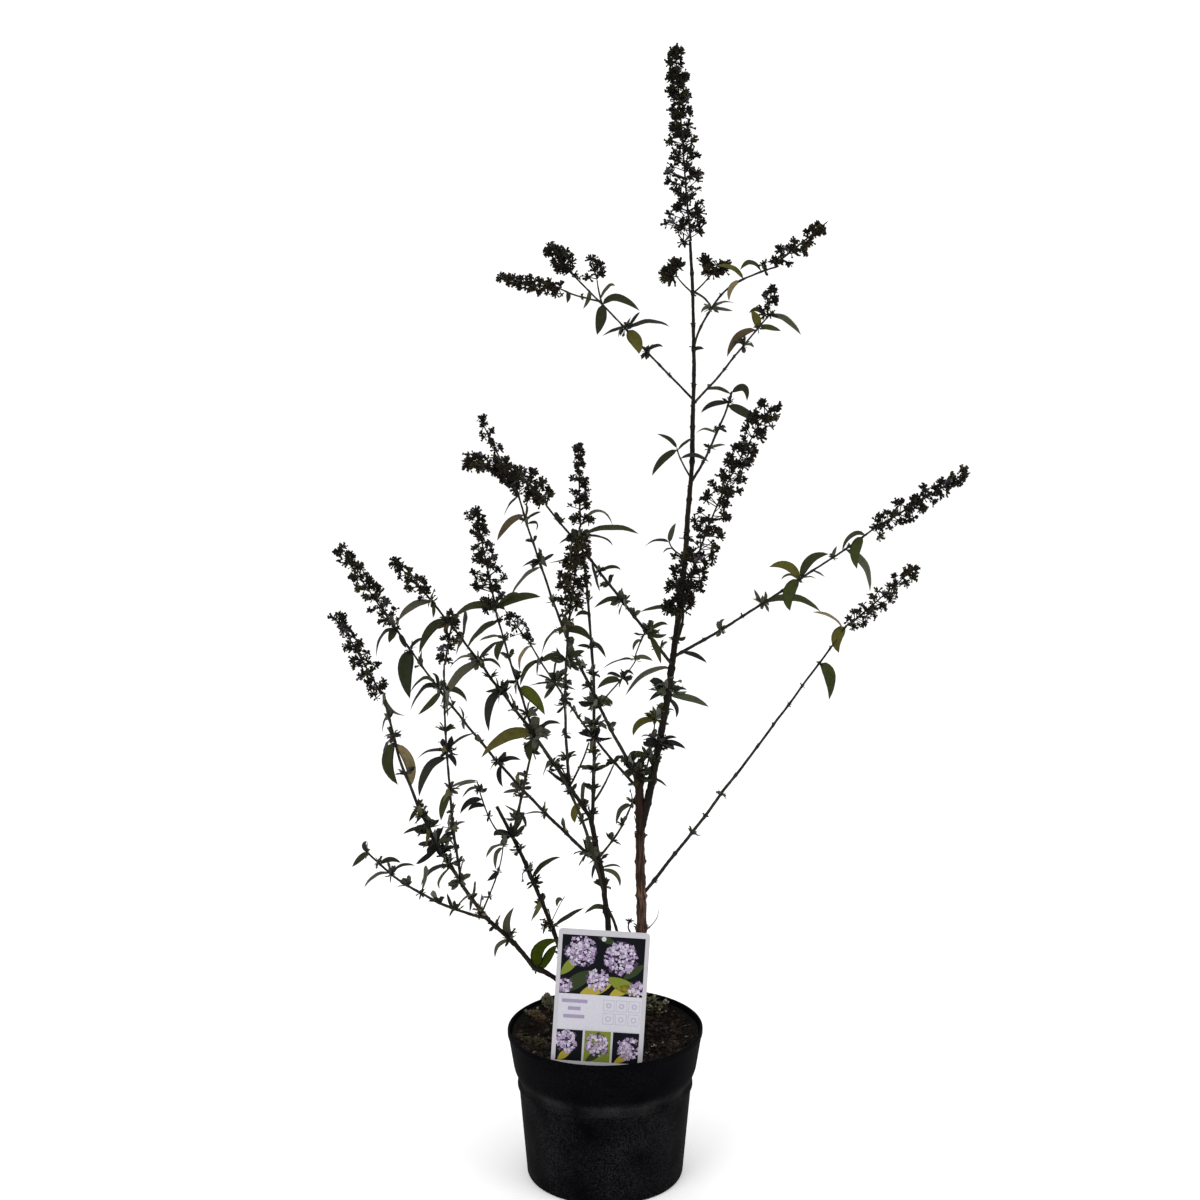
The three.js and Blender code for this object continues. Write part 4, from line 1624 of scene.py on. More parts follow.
FADED = (0.38, 0.28, 0.24, 0.1)  # the same on the paler spikes
SPIKES = [
    SpikePlan("top_spike", "leader", 7.4, 6, 5.8, bare=(0.33, 0.35), spread=(2.7, 1.05), growth=4.0),
    SpikePlan("high_right_spike", "high_right_bough", heads=6, full=0.85, spread=(1.6, 0.95)),
    SpikePlan("top_right_head", "top_right_bough"),
    SpikePlan("top_left_spike", "top_left_bough", 5.0, 7, 4.4, 0.85, spread=(1.5, 1.0)),
    SpikePlan("forward_left_spike", "top_left_fork", 4.6, 6, 4.2, spread=(1.2, 0.95)),
    SpikePlan("slanting_spike", "companion_bough", 7.8, 7, 5.4, 0.84, spread=(1.7, 1.4)),
    SpikePlan("arching_spike", "arching_bough", full=0.95),
    SpikePlan("low_right_spike", "low_right_bough", spread=(1.8, 1.2), tints=FADED),
    SpikePlan("crossing_spike", "crossing_bough", 6.4, 7, spread=(1.6, 1.0)),
    SpikePlan("nodding_spike", "nodding_bough", 8.5, 4, full=0.8),
    SpikePlan("upright_spike", "upright_bough", heads=6, spread=(2.2, 0.95)),
    SpikePlan(
        "straight_spike", "straight_bough", 6.5, 7, full=0.95, spread=(1.7, 1.5), tints=(0.25, 0.4, 0.35, 0)
    ),
    SpikePlan("upper_left_spike", "upper_left_bough", 8.0, full=0.85, spread=(1.9, 1.1)),
    SpikePlan("slender_spike", "slender_bough", 6.4, 6, spread=(1.85, 1.3), tints=FADED),
    SpikePlan("left_spike", "left_bough", heads=6, spread=(1.7, 1.15), tints=FADED),
    SpikePlan("rising_spike", "rising_bough", 7.6, bare=(0.6, 0.66), spread=(1.6, 1.1), tints=FADED),
    SpikePlan("thin_spike", "thin_bough", 9, 4, full=0.75),
    SpikePlan("inner_head", "inner_bough", heads=4, tints=(0.3, 0.15, 0.0, 0.55)),
]


@dataclass(frozen=True)
class LooseHead:
    """A small head of its own on a twig's tip or at a joint, by its place in the front view."""

    shoot: str
    place: Spot
    reach: float  # in picture points
    count: int


LOOSE_HEADS = [
    LooseHead("left_head_stalk", (674, 270), 14, 270),
    LooseHead("right_head_stalk", (710, 270), 14, 290),
    LooseHead("small_head_stalk", (597, 267), 11, 120),
    LooseHead("companion_bough", (671, 603), 13, 110),
    LooseHead("companion_bough", (686, 596), 12, 100),
    LooseHead("companion_bough", (678, 612), 12, 90),
    LooseHead("leader", (675, 588), 11, 80),
    LooseHead("leader", (676, 570), 9, 60),
    LooseHead("leader", (688, 577), 9, 50),
    LooseHead("leader", (675, 557), 7, 30),
    LooseHead("straight_bough", (569, 612), 9, 50),
    LooseHead("cut_dot_twig", (523, 880), 3, 12),
    LooseHead("leader", (663, 745), 9, 40),
    LooseHead("high_right_bough", (764, 264), 6, 30),
    LooseHead("cut_stem", (546, 922), 7, 30),
    LooseHead("low_stem", (513, 931), 4, 18),
]


class SpentBlossom:
    """The dry spikes: stalks, whorls of small heads, and withered florets on each head."""

    CAPSULE = np.array([[0.0, 0.1], [0.38, 0.11], [0.62, 0.22], [0.84, 0.12]])
    WITHERED = np.array([[0.0, 0.09], [0.45, 0.1], [0.8, 0.13], [1.08, 0.24]])
    SIDES = 5
    PLUMP = 4.6 * MM  # the reach up to which a longer floret is also a thicker one
    STALK = (1.1 * MM, 0.5 * MM)
    HEAD_STALK = (0.5 * MM, 0.4 * MM)
    BLUNT = 9 * MM  # how long the rounding of a spike's tip is
    WITHERED_SHARE = 0.3  # of the florets
    STEP = 2 * MM
    CLUMPS = 6  # how many small heads make up a loose one
    OUTWARD, UPWARD, STRAY = 0.75, 0.15, 0.75  # what a floret's direction is made up of
    REACHES = (0.6, 1.2)  # of a floret, as shares of its head's
    ODD = 0.2  # the share of the florets in another brown than their head's
    LEAST_WIDTH = 0.74  # of a spike, as a share of its greatest
    EASED = (1, 0.6, 0.25)  # how far a stalk's first points are moved onto its limb's tip
    WHORL_STRAY = 0.12  # how unevenly the whorls follow each other, as a share of their gap
    HEAD_STRAY = (1.3 * MM, 0.6)  # how far a head strays along the stalk, and round it in radians
    HEAD_SIZES = (0.75, 1.2)
    LEAST_ROOM = 1.2 * MM  # between the stalk and a head's middle
    FLORETS = (13, 5, 20)  # on a plump head, at least and at most

    def __init__(self, wood: Wood) -> None:
        """Keeps the wood that the spikes grow on."""
        self.wood = wood

    def florets(self, foot: Array, toward: Array, reach: Array, tint: Array, seed: int) -> list[Shape]:
        """Florets on their short stalks: seed capsules, and some withered tubes with open mouths.

        Each is a profile [height, radius] in shares of its reach, turned about its direction.

        Args:
            foot: Where each floret's stalk begins, as (n, 3).
            toward: Each floret's direction.
            reach: Each floret's length.
            tint: Each floret's tint number.
            seed: Which of them are withered tubes.

        Returns:
            The shapes.
        """
        rng = np.random.default_rng(seed)
        tube = rng.random(len(foot)) < self.WITHERED_SHARE
        out = spokes(toward, self.SIDES)
        plump = rng.uniform(0.75, 1.25, len(foot))
        shapes = []
        for chosen, profile in ((~tube, self.CAPSULE), (tube, self.WITHERED)):
            if not chosen.any():
                continue
            start, way, long = foot[chosen], toward[chosen], reach[chosen]
            size = long[:, None, None, None]
            height, radius = profile.T[:, None, :, None, None]
            lobes = rng.uniform(0.7, 1.3, (len(long), len(profile), self.SIDES, 1))
            wide = radius * lobes * out[chosen][:, None] * plump[chosen][:, None, None, None]
            rings = start[:, None, None] + size * height * way[:, None, None]
            rings = rings + np.minimum(size, self.PLUMP) * wide
            shapes.append(skin(rings, start, start + way * long[:, None], tint[chosen]))
        return shapes

    def heads(
        self, root: Array, base: Array, size: Array, count: Array, tint: Array, seed: int
    ) -> list[Shape]:
        """Small round heads: a stalk from the root to the base, and florets that spread from it.

        Args:
            root: Where each head's stalk leaves the spike's own, as (n, 3).
            base: Where its florets spread from.
            size: How far they reach.
            count: How many florets each has.
            tint: Each head's tint number.
            seed: Which directions are drawn.

        Returns:
            The shapes.
        """
        rng = np.random.default_rng(seed)
        outward = unit(base - root)
        owner = np.repeat(np.arange(len(base)), count)
        total = len(owner)
        stray = rng.normal(scale=self.STRAY, size=(total, 3))
        spread = unit(outward[owner] * self.OUTWARD + UP * self.UPWARD + stray)
        reach = size[owner] * rng.uniform(*self.REACHES, total)
        own = np.where(rng.random(total) < self.ODD, rng.integers(0, 2, total), tint[owner])
        stalks = struts(root, base + outward * 0.3 * MM, self.HEAD_STALK, tint=tint)
        return [*self.florets(base[owner], spread, reach, own, seed + 1), stalks]

    def spike(self, plan: SpikePlan, seed: int) -> Shape:
        """One spike: whorls of heads round a stalk, each whorl a quarter turn from the last.

        Args:
            plan: The spike's plan.
            seed: Which draws it takes.

        Returns:
            Its shape.
        """
        rng = np.random.default_rng(900 + seed)
        core = CoreLine(plan.node, 0.03)
        tip_of_limb = self.wood.shoots[plan.limb].line[-1]
        count = max(12, int(core.span / self.STEP))
        levels = core.foot_first(tip_of_limb, count)
        line = on_curve(core.cubic, levels)
        line[:3] += (tip_of_limb - line[0]) * np.array(self.EASED)[:, None]
        left = np.linspace(1, 0, count)
        blunt = np.sqrt(1 - (1 - np.clip(left * core.span / self.BLUNT, 0, 1)) ** 2)
        wide_foot, wide_tip = plan.spread
        full = np.interp(levels, core.levels, core.radii)
        full = np.maximum(full, full.max() * self.LEAST_WIDTH * blunt)
        full = full * (wide_tip + (wide_foot - wide_tip) * left**plan.growth)
        stalk = Shoot(plan.node, line, np.linspace(*self.STALK, count))
        gap = plan.whorl_gap * MM
        whorls = np.arange(gap * 0.4, stalk.length - 2 * MM, gap)
        whorls = whorls + rng.normal(scale=self.WHORL_STRAY, size=len(whorls)) * gap
        share = np.clip(whorls / stalk.length, 0, 1)
        whorls = whorls[(share <= plan.bare[0]) | (share >= plan.bare[1])]
        number, side = np.divmod(np.arange(len(whorls) * plan.heads), plan.heads)
        along, round_it = self.HEAD_STRAY
        whorls = whorls[number] + rng.normal(scale=along, size=len(number))
        whorls = np.clip(whorls, 0, stalk.length)
        turn = number * np.pi / 2 + side % 2 * np.pi + rng.normal(scale=round_it, size=len(number))
        there = rng.random(len(number)) < plan.full
        whorls, turn = whorls[there], turn[there]
        at = stalk.between(line, whorls)
        way = unit(stalk.between(stalk.along, whorls))
        wide = np.interp(whorls, stalk.run, full)
        one, two = across_to(way)
        outward = one * np.cos(turn)[:, None] + two * np.sin(turn)[:, None]
        size = plan.head_size * MM * rng.uniform(*self.HEAD_SIZES, len(turn))
        size = np.minimum(size, wide * 0.95)
        room = np.maximum(wide - size, self.LEAST_ROOM)
        off = room * np.sqrt(rng.uniform(0.12, 1, len(turn)))
        base = at + (outward + way * 0.45) * off[:, None]
        usual, least, most = self.FLORETS
        florets = np.clip((size / self.PLUMP) ** 2 * usual, least, most).astype(int)
        tint = rng.choice(4, len(turn), p=plan.tints)
        tube = self.wood.tube(stalk, [], seed + 600, 1)
        return Shape.joined([tube, *self.heads(at, base, size, florets, tint, 5000 + seed * 10)])

    def loose(self) -> list[Shape]:
        """The small heads that stand by themselves, each on the shoot that carries it.

        Returns:
            Their shapes.
        """
        shapes = []
        for number, head in enumerate(LOOSE_HEADS):
            shoot = self.wood.shoots[head.shoot]
            rng = np.random.default_rng(4000 + number)
            root = shoot.line[shoot.nearest(head.place)]
            reach = head.reach * VIEW.metres(root[1])
            off = rng.normal(scale=0.3, size=(self.CLUMPS, 3)) * reach
            bases = VIEW.at_depth(head.place, root[1]) + off
            roots = np.repeat(root[None], self.CLUMPS, axis=0)
            count = np.full(self.CLUMPS, max(2, head.count // self.CLUMPS))
            tint = rng.choice(3, self.CLUMPS, p=[0.6, 0.25, 0.15])
            size = np.full(self.CLUMPS, reach * 0.62)
            shapes += self.heads(roots, bases, size, count, tint, 7000 + number * 10)
        return shapes

    def build(self) -> None:
        """Makes each spike a piece of its own and the loose heads one more."""
        for seed, plan in enumerate(SPIKES, 1):
            piece = self.spike(plan, seed).build(f"spent_{plan.node}", SPENT_FLORETS)
            settle(piece, "spent_blossom", plan.node)
        piece = Shape.joined(self.loose()).build("spent_side_heads", SPENT_FLORETS)
        settle(piece, "spent_blossom", "paired_side_heads")


# ---- Leaves ----


@dataclass(frozen=True)
class Leaf:
    """One leaf, by the places of its foot, middle and tip in the front view."""

    base: Spot
    middle: Spot
    tip: Spot
    width: float  # as the front sees it, in picture points
    tint: Tint = DARK


@dataclass(frozen=True)
class Tuft:
    """A star of small leaves at a joint, by its place in the front view."""

    place: Spot
    reach: float  # in picture points
    tint: Tint = DARK
    count: int = 7


# The fields of a Leaf in a row: foot, middle, tip, width and tint, by the shoot that carries it.
LEAVES: dict[str, tuple[tuple, ...]] = {
    "top_left_bough": (
        (604, 302, 616, 293, 640, 311, 7, DUSKY), (603, 303, 601, 318, 597, 335, 12, DUSKY),
        (630, 327, 634, 318, 640, 312, 3), (628, 328, 650, 319, 670, 327, 5),
        (624, 328, 613, 330, 602, 336, 4), (628, 330, 637, 341, 639, 354, 14, YELLOW),
        (650, 348, 656, 344, 663, 347, 4), (589, 290, 590, 298, 583, 309, 5, DOWNY),
        (600, 300, 609, 283, 615, 286, 3, DOWNY),
    ),
    "top_left_fork": ((568, 291, 569, 296, 567, 303, 5),),
    "high_right_bough": (
        (711, 308, 705, 306, 701, 313, 4, DOWNY), (711, 308, 722, 301, 735, 303, 4, DOWNY),
        (711, 309, 722, 309, 733, 311, 3, GREY), (742, 277, 734, 266, 716, 266, 5, YELLOW),
        (740, 279, 729, 286, 729, 301, 6, TAN), (761, 269, 750, 258, 740, 270, 3, OLIVE),
    ),
    "top_right_bough": (
        (757, 327, 758, 318, 751, 311, 9, YELLOW), (766, 317, 758, 306, 749, 313, 5, OLIVE),
        (755, 329, 737, 333, 727, 357, 6, BROWN), (760, 326, 770, 327, 781, 331, 6, GREEN),
        (768, 316, 786, 316, 801, 335, 5, DOWNY),
    ),
    "short_right_bough": (
        (731, 392, 747, 382, 747, 401, 8, MOSSY), (727, 405, 743, 410, 760, 424, 10, MOSSY),
        (725, 402, 712, 402, 701, 413, 6), (729, 394, 716, 386, 704, 391, 4, OLIVE),
        (714, 432, 704, 427, 696, 434, 3, GREY), (708, 449, 716, 445, 726, 445, 3, GREY),
    ),
    "leader_left_shoot": (
        (677, 448, 670, 438, 657, 434, 5, MOSSY), (677, 450, 661, 458, 652, 476, 8, MOSSY),
        (679, 450, 686, 441, 695, 438, 3), (681, 458, 695, 453, 709, 462, 3),
    ),
    "leader_low_shoot": (
        (669, 542, 671, 532, 676, 523, 6, DOWNY), (668, 542, 657, 538, 644, 547, 4),
        (672, 549, 667, 548, 663, 553, 2, GREY),
    ),
    "leader": (
        (680, 614, 662, 605, 640, 612, 3, OLIVE), (672, 696, 691, 697, 709, 707, 8, DOWNY),
        (671, 690, 663, 684, 654, 680, 4, GREY), (671, 692, 658, 691, 649, 701, 6),
        (672, 690, 679, 687, 687, 690, 4), (671, 698, 678, 706, 676, 718, 5),
        (673, 668, 645, 669, 625, 696, 2, GREY), (661, 745, 673, 740, 686, 749, 5, BLACK),
        (661, 745, 668, 735, 677, 738, 4, BLACK), (661, 747, 654, 741, 650, 747, 5, BLACK),
        (657, 778, 660, 781, 667, 787, 3), (694, 350, 699, 347, 704, 349, 4),
    ),
    "arching_bough": (
        (684, 656, 696, 653, 707, 663, 5), (762, 605, 796, 592, 821, 612, 6, GREEN),
        (799, 578, 789, 561, 769, 567, 10, YELLOW), (800, 577, 808, 556, 829, 554, 10, OLIVE),
        (799, 579, 785, 591, 790, 611, 14, GREEN), (812, 571, 818, 572, 825, 577, 2, GREY),
        (799, 578, 810, 576, 816, 579, 2, GREY), (797, 579, 789, 572, 781, 580, 2, GREY),
        (832, 558, 834, 552, 837, 546, 4, GREY), (866, 536, 850, 531, 842, 552, 6, OLIVE),
        (863, 538, 852, 548, 857, 569, 12, GREEN), (845, 550, 868, 562, 870, 592, 9, DOWNY),
        (762, 604, 757, 596, 754, 589, 4, GREY), (763, 603, 767, 597, 765, 591, 4, GREY),
        (721, 628, 719, 622, 725, 619, 4, GREY),
    ),
    "low_right_bough": (
        (845, 627, 834, 636, 839, 653, 13, YELLOW), (841, 630, 836, 616, 812, 612, 2, TAN),
        (817, 662, 835, 672, 829, 700, 14, GREEN),
    ),
    "crossing_bough": (
        (603, 569, 612, 565, 621, 570, 4, MOSSY), (622, 599, 610, 597, 594, 608, 6, DUSKY),
        (592, 560, 594, 578, 600, 592, 3), (650, 630, 660, 622, 668, 625, 5, OLIVE),
        (650, 632, 658, 638, 667, 634, 5, OLIVE), (653, 634, 656, 648, 661, 664, 7, OLIVE),
    ),
    "crossing_shoot": (
        (635, 660, 619, 658, 602, 669, 3), (635, 658, 644, 655, 653, 661, 5, DOWNY),
        (642, 640, 634, 641, 633, 651, 4, DOWNY),
    ),
    "nodding_bough": (
        (525, 515, 507, 521, 497, 541, 7, BROWN), (528, 518, 535, 513, 541, 512, 3),
        (530, 524, 538, 520, 536, 531, 3), (518, 497, 509, 504, 504, 516, 3),
        (543, 562, 533, 560, 522, 567, 4), (543, 562, 549, 556, 554, 554, 4),
        (544, 566, 521, 577, 510, 599, 3, GREY), (567, 629, 580, 627, 591, 641, 9, DUSKY),
        (566, 629, 549, 631, 541, 656, 4, OLIVE), (602, 704, 610, 699, 612, 706, 5, OLIVE),
    ),
    "nodding_shoot": (
        (620, 680, 608, 677, 597, 689, 8, OLIVE), (620, 676, 612, 672, 607, 675, 4),
        (622, 674, 628, 669, 634, 675, 4),
    ),
    "upright_bough": (
        (585, 535, 612, 524, 639, 534, 4, OLIVE), (585, 537, 602, 535, 613, 546, 3),
        (582, 537, 570, 536, 559, 544, 3), (580, 508, 600, 508, 613, 526, 2, GREY),
        (584, 561, 567, 560, 548, 563, 5, OLIVE), (590, 645, 599, 643, 606, 658, 5, MOSSY),
        (590, 647, 584, 645, 577, 646, 4), (592, 771, 601, 767, 610, 765, 5, OLIVE),
        (592, 771, 584, 765, 577, 768, 4), (590, 614, 581, 610, 575, 617, 5),
    ),
    "straight_bough": (
        (566, 661, 553, 653, 542, 661, 9, DUSKY), (566, 660, 576, 652, 585, 651, 7, DUSKY),
        (566, 663, 571, 667, 576, 663, 6, DUSKY),
    ),
    "inner_bough": (
        (540, 661, 526, 665, 520, 686, 4, OLIVE), (543, 661, 552, 654, 560, 656, 7, DUSKY),
        (552, 684, 540, 683, 528, 686, 3), (553, 684, 564, 685, 576, 690, 4, DOWNY),
        (552, 686, 549, 692, 544, 699, 5, DOWNY), (531, 646, 519, 654, 520, 672, 3, TAN),
    ),
    "slender_bough": (
        (497, 605, 475, 602, 452, 619, 9, OLIVE), (498, 604, 519, 595, 541, 597, 9, OLIVE),
        (497, 601, 509, 595, 520, 594, 3, OLIVE), (499, 621, 479, 629, 466, 651, 8, DUSKY),
        (503, 640, 496, 649, 498, 661, 8, OLIVE), (503, 638, 491, 635, 479, 641, 2, GREY),
        (517, 689, 533, 692, 545, 715, 13, BRIGHT),
    ),
    "upper_left_bough": (
        (431, 602, 411, 603, 398, 621, 7, GREY), (431, 603, 435, 610, 433, 618, 4, OLIVE),
        (447, 621, 429, 624, 419, 654, 10, DUSKY), (477, 661, 463, 652, 449, 669, 3, GREY),
        (479, 660, 490, 646, 501, 641, 5), (481, 661, 493, 658, 501, 669, 4),
        (479, 664, 458, 670, 441, 705, 9, GREY), (502, 691, 486, 701, 489, 732, 10),
        (533, 734, 507, 730, 481, 758, 14, YELLOW), (536, 735, 546, 720, 561, 724, 4),
        (536, 738, 526, 748, 530, 762, 9, DUSKY), (572, 776, 560, 765, 545, 761, 3),
        (575, 790, 556, 778, 546, 770, 3, BLACK), (580, 804, 573, 811, 575, 823, 9, YELLOW),
    ),
    "left_bough": (
        (412, 648, 415, 640, 425, 638, 4), (414, 650, 401, 666, 410, 699, 17, MOSSY),
        (443, 684, 423, 683, 410, 711, 4, BLACK), (440, 681, 423, 674, 410, 693, 4, OLIVE),
        (444, 686, 457, 688, 467, 702, 7, DUSKY), (443, 690, 432, 703, 418, 715, 7, OLIVE),
        (442, 684, 437, 677, 432, 673, 4), (397, 629, 380, 631, 376, 658, 3),
        (397, 628, 391, 633, 389, 643, 9, OLIVE), (399, 634, 404, 642, 406, 648, 6),
        (498, 763, 509, 756, 521, 760, 5), (499, 766, 498, 776, 503, 787, 6, BLACK),
        (519, 794, 511, 789, 503, 793, 4, GREY), (541, 816, 531, 811, 521, 816, 2, GREY),
    ),
    "rising_bough": (
        (384, 697, 386, 712, 406, 716, 7, DOWNY), (391, 742, 383, 762, 398, 785, 13, OLIVE),
        (399, 743, 413, 762, 410, 788, 12, TAN), (418, 808, 413, 814, 409, 822, 5, DUSKY),
        (424, 828, 414, 828, 403, 834, 4), (431, 847, 425, 842, 418, 845, 6),
        (432, 849, 440, 851, 447, 859, 6, BLACK), (432, 850, 425, 859, 416, 864, 6, BLACK),
        (443, 868, 430, 868, 421, 886, 4), (443, 871, 439, 879, 440, 889, 3, GREY),
    ),
    "thin_bough": (
        (446, 750, 461, 737, 480, 732, 3), (445, 752, 430, 748, 416, 760, 4),
        (446, 757, 425, 765, 419, 797, 8), (446, 755, 454, 757, 456, 767, 6, BLACK),
        (449, 791, 443, 803, 441, 821, 9, OLIVE), (450, 789, 463, 781, 479, 781, 3, GREY),
        (452, 827, 459, 822, 466, 822, 3, GREY), (453, 832, 446, 835, 440, 841, 6, BLACK),
        (444, 706, 448, 702, 451, 706, 5),
    ),
    "low_left_bough": (
        (390, 873, 375, 873, 364, 888, 3, GREY), (392, 872, 403, 863, 415, 866, 3),
        (381, 862, 390, 857, 401, 863, 6), (367, 852, 361, 857, 352, 867, 7, DUSKY),
        (367, 852, 362, 845, 367, 841, 5), (453, 908, 449, 901, 447, 893, 4, BLACK),
        (457, 908, 463, 898, 477, 893, 2, GREY),
    ),
    "low_shoot": (
        (500, 872, 494, 876, 487, 881, 6, BLACK), (503, 848, 494, 853, 496, 870, 4, GREY),
        (503, 846, 492, 845, 486, 858, 2, GREY), (503, 846, 506, 840, 503, 834, 6, GREY),
    ),
    "cut_stem": (
        (533, 878, 543, 862, 561, 857, 6, DUSKY), (556, 926, 568, 916, 584, 908, 4),
        (551, 922, 545, 923, 543, 935, 4, DOWNY), (507, 836, 498, 830, 494, 836, 7),
    ),
    "cut_loop_twig": ((562, 899, 557, 898, 557, 907, 5, DOWNY),),
    "cut_left_shoot": (
        (482, 799, 468, 799, 460, 814, 7, BLACK), (484, 806, 475, 803, 468, 811, 6, BLACK),
        (479, 788, 470, 787, 462, 798, 3, GREY), (477, 782, 466, 783, 454, 789, 2, GREY),
    ),
    "cut_right_shoot": (
        (518, 812, 512, 810, 504, 805, 3, GREY), (519, 812, 525, 818, 526, 828, 4),
        (525, 776, 520, 772, 517, 776, 4, DOWNY), (532, 752, 526, 748, 525, 742, 8, DUSKY),
        (532, 752, 537, 747, 536, 740, 7, DUSKY),
    ),
    "low_stem": (
        (510, 946, 503, 926, 514, 907, 9, GREY), (507, 943, 497, 942, 495, 958, 5, GREY),
        (540, 967, 533, 947, 559, 940, 15, GRASS), (542, 967, 549, 954, 557, 945, 10, GRASS),
    ),
    "middle_stem": (
        (609, 911, 597, 903, 584, 914, 6, OLIVE), (607, 866, 613, 864, 621, 868, 3, GREY),
        (607, 868, 617, 872, 620, 887, 5, DOWNY), (600, 862, 593, 866, 592, 880, 4),
    ),
    "back_shoot": (
        (655, 715, 637, 721, 633, 736, 8, YELLOW), (634, 806, 619, 806, 616, 825, 6, DOWNY),
        (648, 757, 632, 750, 626, 767, 8, OLIVE), (655, 710, 662, 703, 665, 708, 6, YELLOW),
    ),
}

# The fields of a Tuft in a row: place, reach, tint and count, by the shoot that carries it.
TUFTS: dict[str, tuple[tuple, ...]] = {
    "leader": (
        (694, 349, 5, DARK, 4), (684, 537, 7, DARK, 5), (671, 690, 17, DOWNY, 13), (662, 745, 16, BLACK, 14),
        (659, 762, 9, DUSKY, 7), (656, 782, 9, DARK, 6), (669, 712, 8, DARK, 6), (678, 640, 9, DUSKY, 7),
        (693, 293, 4, DARK, 4),
    ),
    "short_right_bough": ((716, 428, 7), (726, 402, 8), (708, 447, 6)),
    "top_left_bough": ((627, 326, 9), (650, 348, 8), (672, 374, 4, DARK, 4)),
    "high_right_bough": ((711, 308, 7, DOWNY), (764, 270, 6)),
    "top_right_bough": ((742, 344, 9), (721, 367, 3, DARK, 3), (757, 328, 6)),
    "arching_bough": (
        (720, 629, 8, GREY), (762, 604, 9, GREY), (799, 578, 5, BROWN), (832, 558, 5), (850, 547, 4),
    ),
    "low_right_bough": (
        (692, 832, 8, GREY), (720, 793, 6, GREY), (787, 704, 4, DARK, 4), (817, 662, 4, DARK, 4),
        (657, 882, 4, DARK, 4),
    ),
    "crossing_bough": ((603, 569, 6), (625, 600, 11, GREY, 9), (651, 631, 12, OLIVE, 10), (589, 557, 5)),
    "nodding_bough": (
        (543, 562, 9, DARK, 9), (600, 706, 12, OLIVE, 10), (619, 766, 13, OLIVE, 10),
        (567, 628, 10, OLIVE, 9), (556, 600, 8), (580, 668, 6), (527, 519, 6, BROWN),
    ),
    "nodding_shoot": ((620, 676, 10, DARK, 10), (635, 660, 5, GREY)),
    "upright_bough": (
        (584, 535, 11, DUSKY, 10), (590, 600, 6), (590, 646, 7), (592, 675, 7), (593, 702, 14, DOWNY, 10),
        (591, 724, 13, GREY, 12), (592, 738, 15, BLACK, 11), (593, 752, 8, BROWN, 8), (592, 770, 9, DOWNY),
    ),
    "straight_bough": (
        (566, 660, 14, DUSKY, 12), (566, 684, 8), (566, 705, 9, BLACK), (567, 734, 6, BLACK, 5),
        (569, 622, 9, BROWN, 8),
    ),
    "inner_bough": (
        (541, 661, 8), (552, 683, 16, DOWNY, 13), (562, 700, 7), (575, 719, 4, DARK, 4), (530, 644, 6, GREY),
    ),
    "slender_bough": ((497, 604, 9, OLIVE), (503, 640, 7), (515, 681, 9), (526, 714, 10, DARK, 9)),
    "upper_left_bough": (
        (431, 602, 6, OLIVE), (449, 622, 12, BROWN, 12), (478, 660, 11, GREY, 10), (504, 690, 13, DARK, 12),
        (536, 735, 15, GREY, 14), (555, 763, 9), (572, 778, 9), (587, 806, 7),
    ),
    "left_bough": (
        (397, 629, 8, OLIVE), (412, 649, 8), (443, 684, 9, GREY), (467, 718, 5, DARK, 5),
        (498, 763, 11, DARK, 10), (515, 790, 12, GREY, 11), (541, 816, 6, GREY), (562, 838, 3, DARK, 3),
        (588, 852, 13, GREY, 12),
    ),
    "rising_bough": (
        (384, 698, 4, DARK, 4), (395, 736, 10, GREY, 9), (418, 808, 8), (421, 818, 9, DARK, 7),
        (425, 830, 13, DUSKY, 9), (431, 847, 14, BLACK, 11), (438, 858, 10, DARK, 8), (444, 868, 10, DUSKY),
        (458, 882, 11, GREY, 11),
    ),
    "thin_bough": (
        (444, 706, 4, DARK, 4), (446, 750, 12, BLACK, 12), (449, 790, 9, GREY), (453, 827, 9, GREY, 9),
        (455, 850, 5),
    ),
    "low_left_bough": (
        (367, 852, 6, GREY), (381, 861, 6, GREY), (392, 873, 8, GREY), (422, 893, 6), (458, 907, 8, OLIVE),
    ),
    "low_stem": ((481, 912, 9, TAN), (511, 937, 8), (536, 966, 5)),
    "cut_stem": (
        (509, 838, 14, DARK, 12), (517, 850, 8), (530, 870, 10), (534, 883, 9, BLACK, 9), (555, 926, 7, GREY),
    ),
    "middle_stem": ((601, 862, 10), (611, 912, 5), (592, 803, 9)),
    "trunk": (
        (642, 836, 9), (639, 896, 4, BROWN, 4), (641, 772, 12, BLACK, 13), (641, 774, 18, DUSKY, 8),
        (641, 783, 8, DARK, 8), (637, 928, 7),
    ),
    "back_shoot": ((655, 713, 12, YELLOW, 11), (647, 757, 12, OLIVE, 11), (634, 804, 7, GREY)),
    "cut_left_shoot": ((481, 791, 8), (489, 816, 5, DARK, 4)),
    "cut_right_shoot": ((517, 818, 9, GREY), (521, 797, 9), (525, 775, 6), (532, 750, 11, DUSKY, 10)),
    "slender_foot": (
        (593, 855, 8, GREY), (583, 822, 7, DARK, 6), (571, 792, 9, DARK, 8), (557, 770, 9, DARK, 8),
    ),
    "low_shoot": ((503, 846, 6, GREY), (499, 872, 5), (489, 897, 5)),
    "trunk_foot_spur": ((631, 922, 5),),
}

LEAF_MASSES = (
    "arching_leaves",
    "low_right_leaves",
    "top_right_leaves",
    "top_left_leaves",
    "short_right_leaves",
    "trunk_top_leaves",
    "upper_left_leaves",
    "inner_left_leaves",
    "rising_leaves",
    "low_left_leaves",
    "foot_leaves",
    "back_shoot_leaves",
)

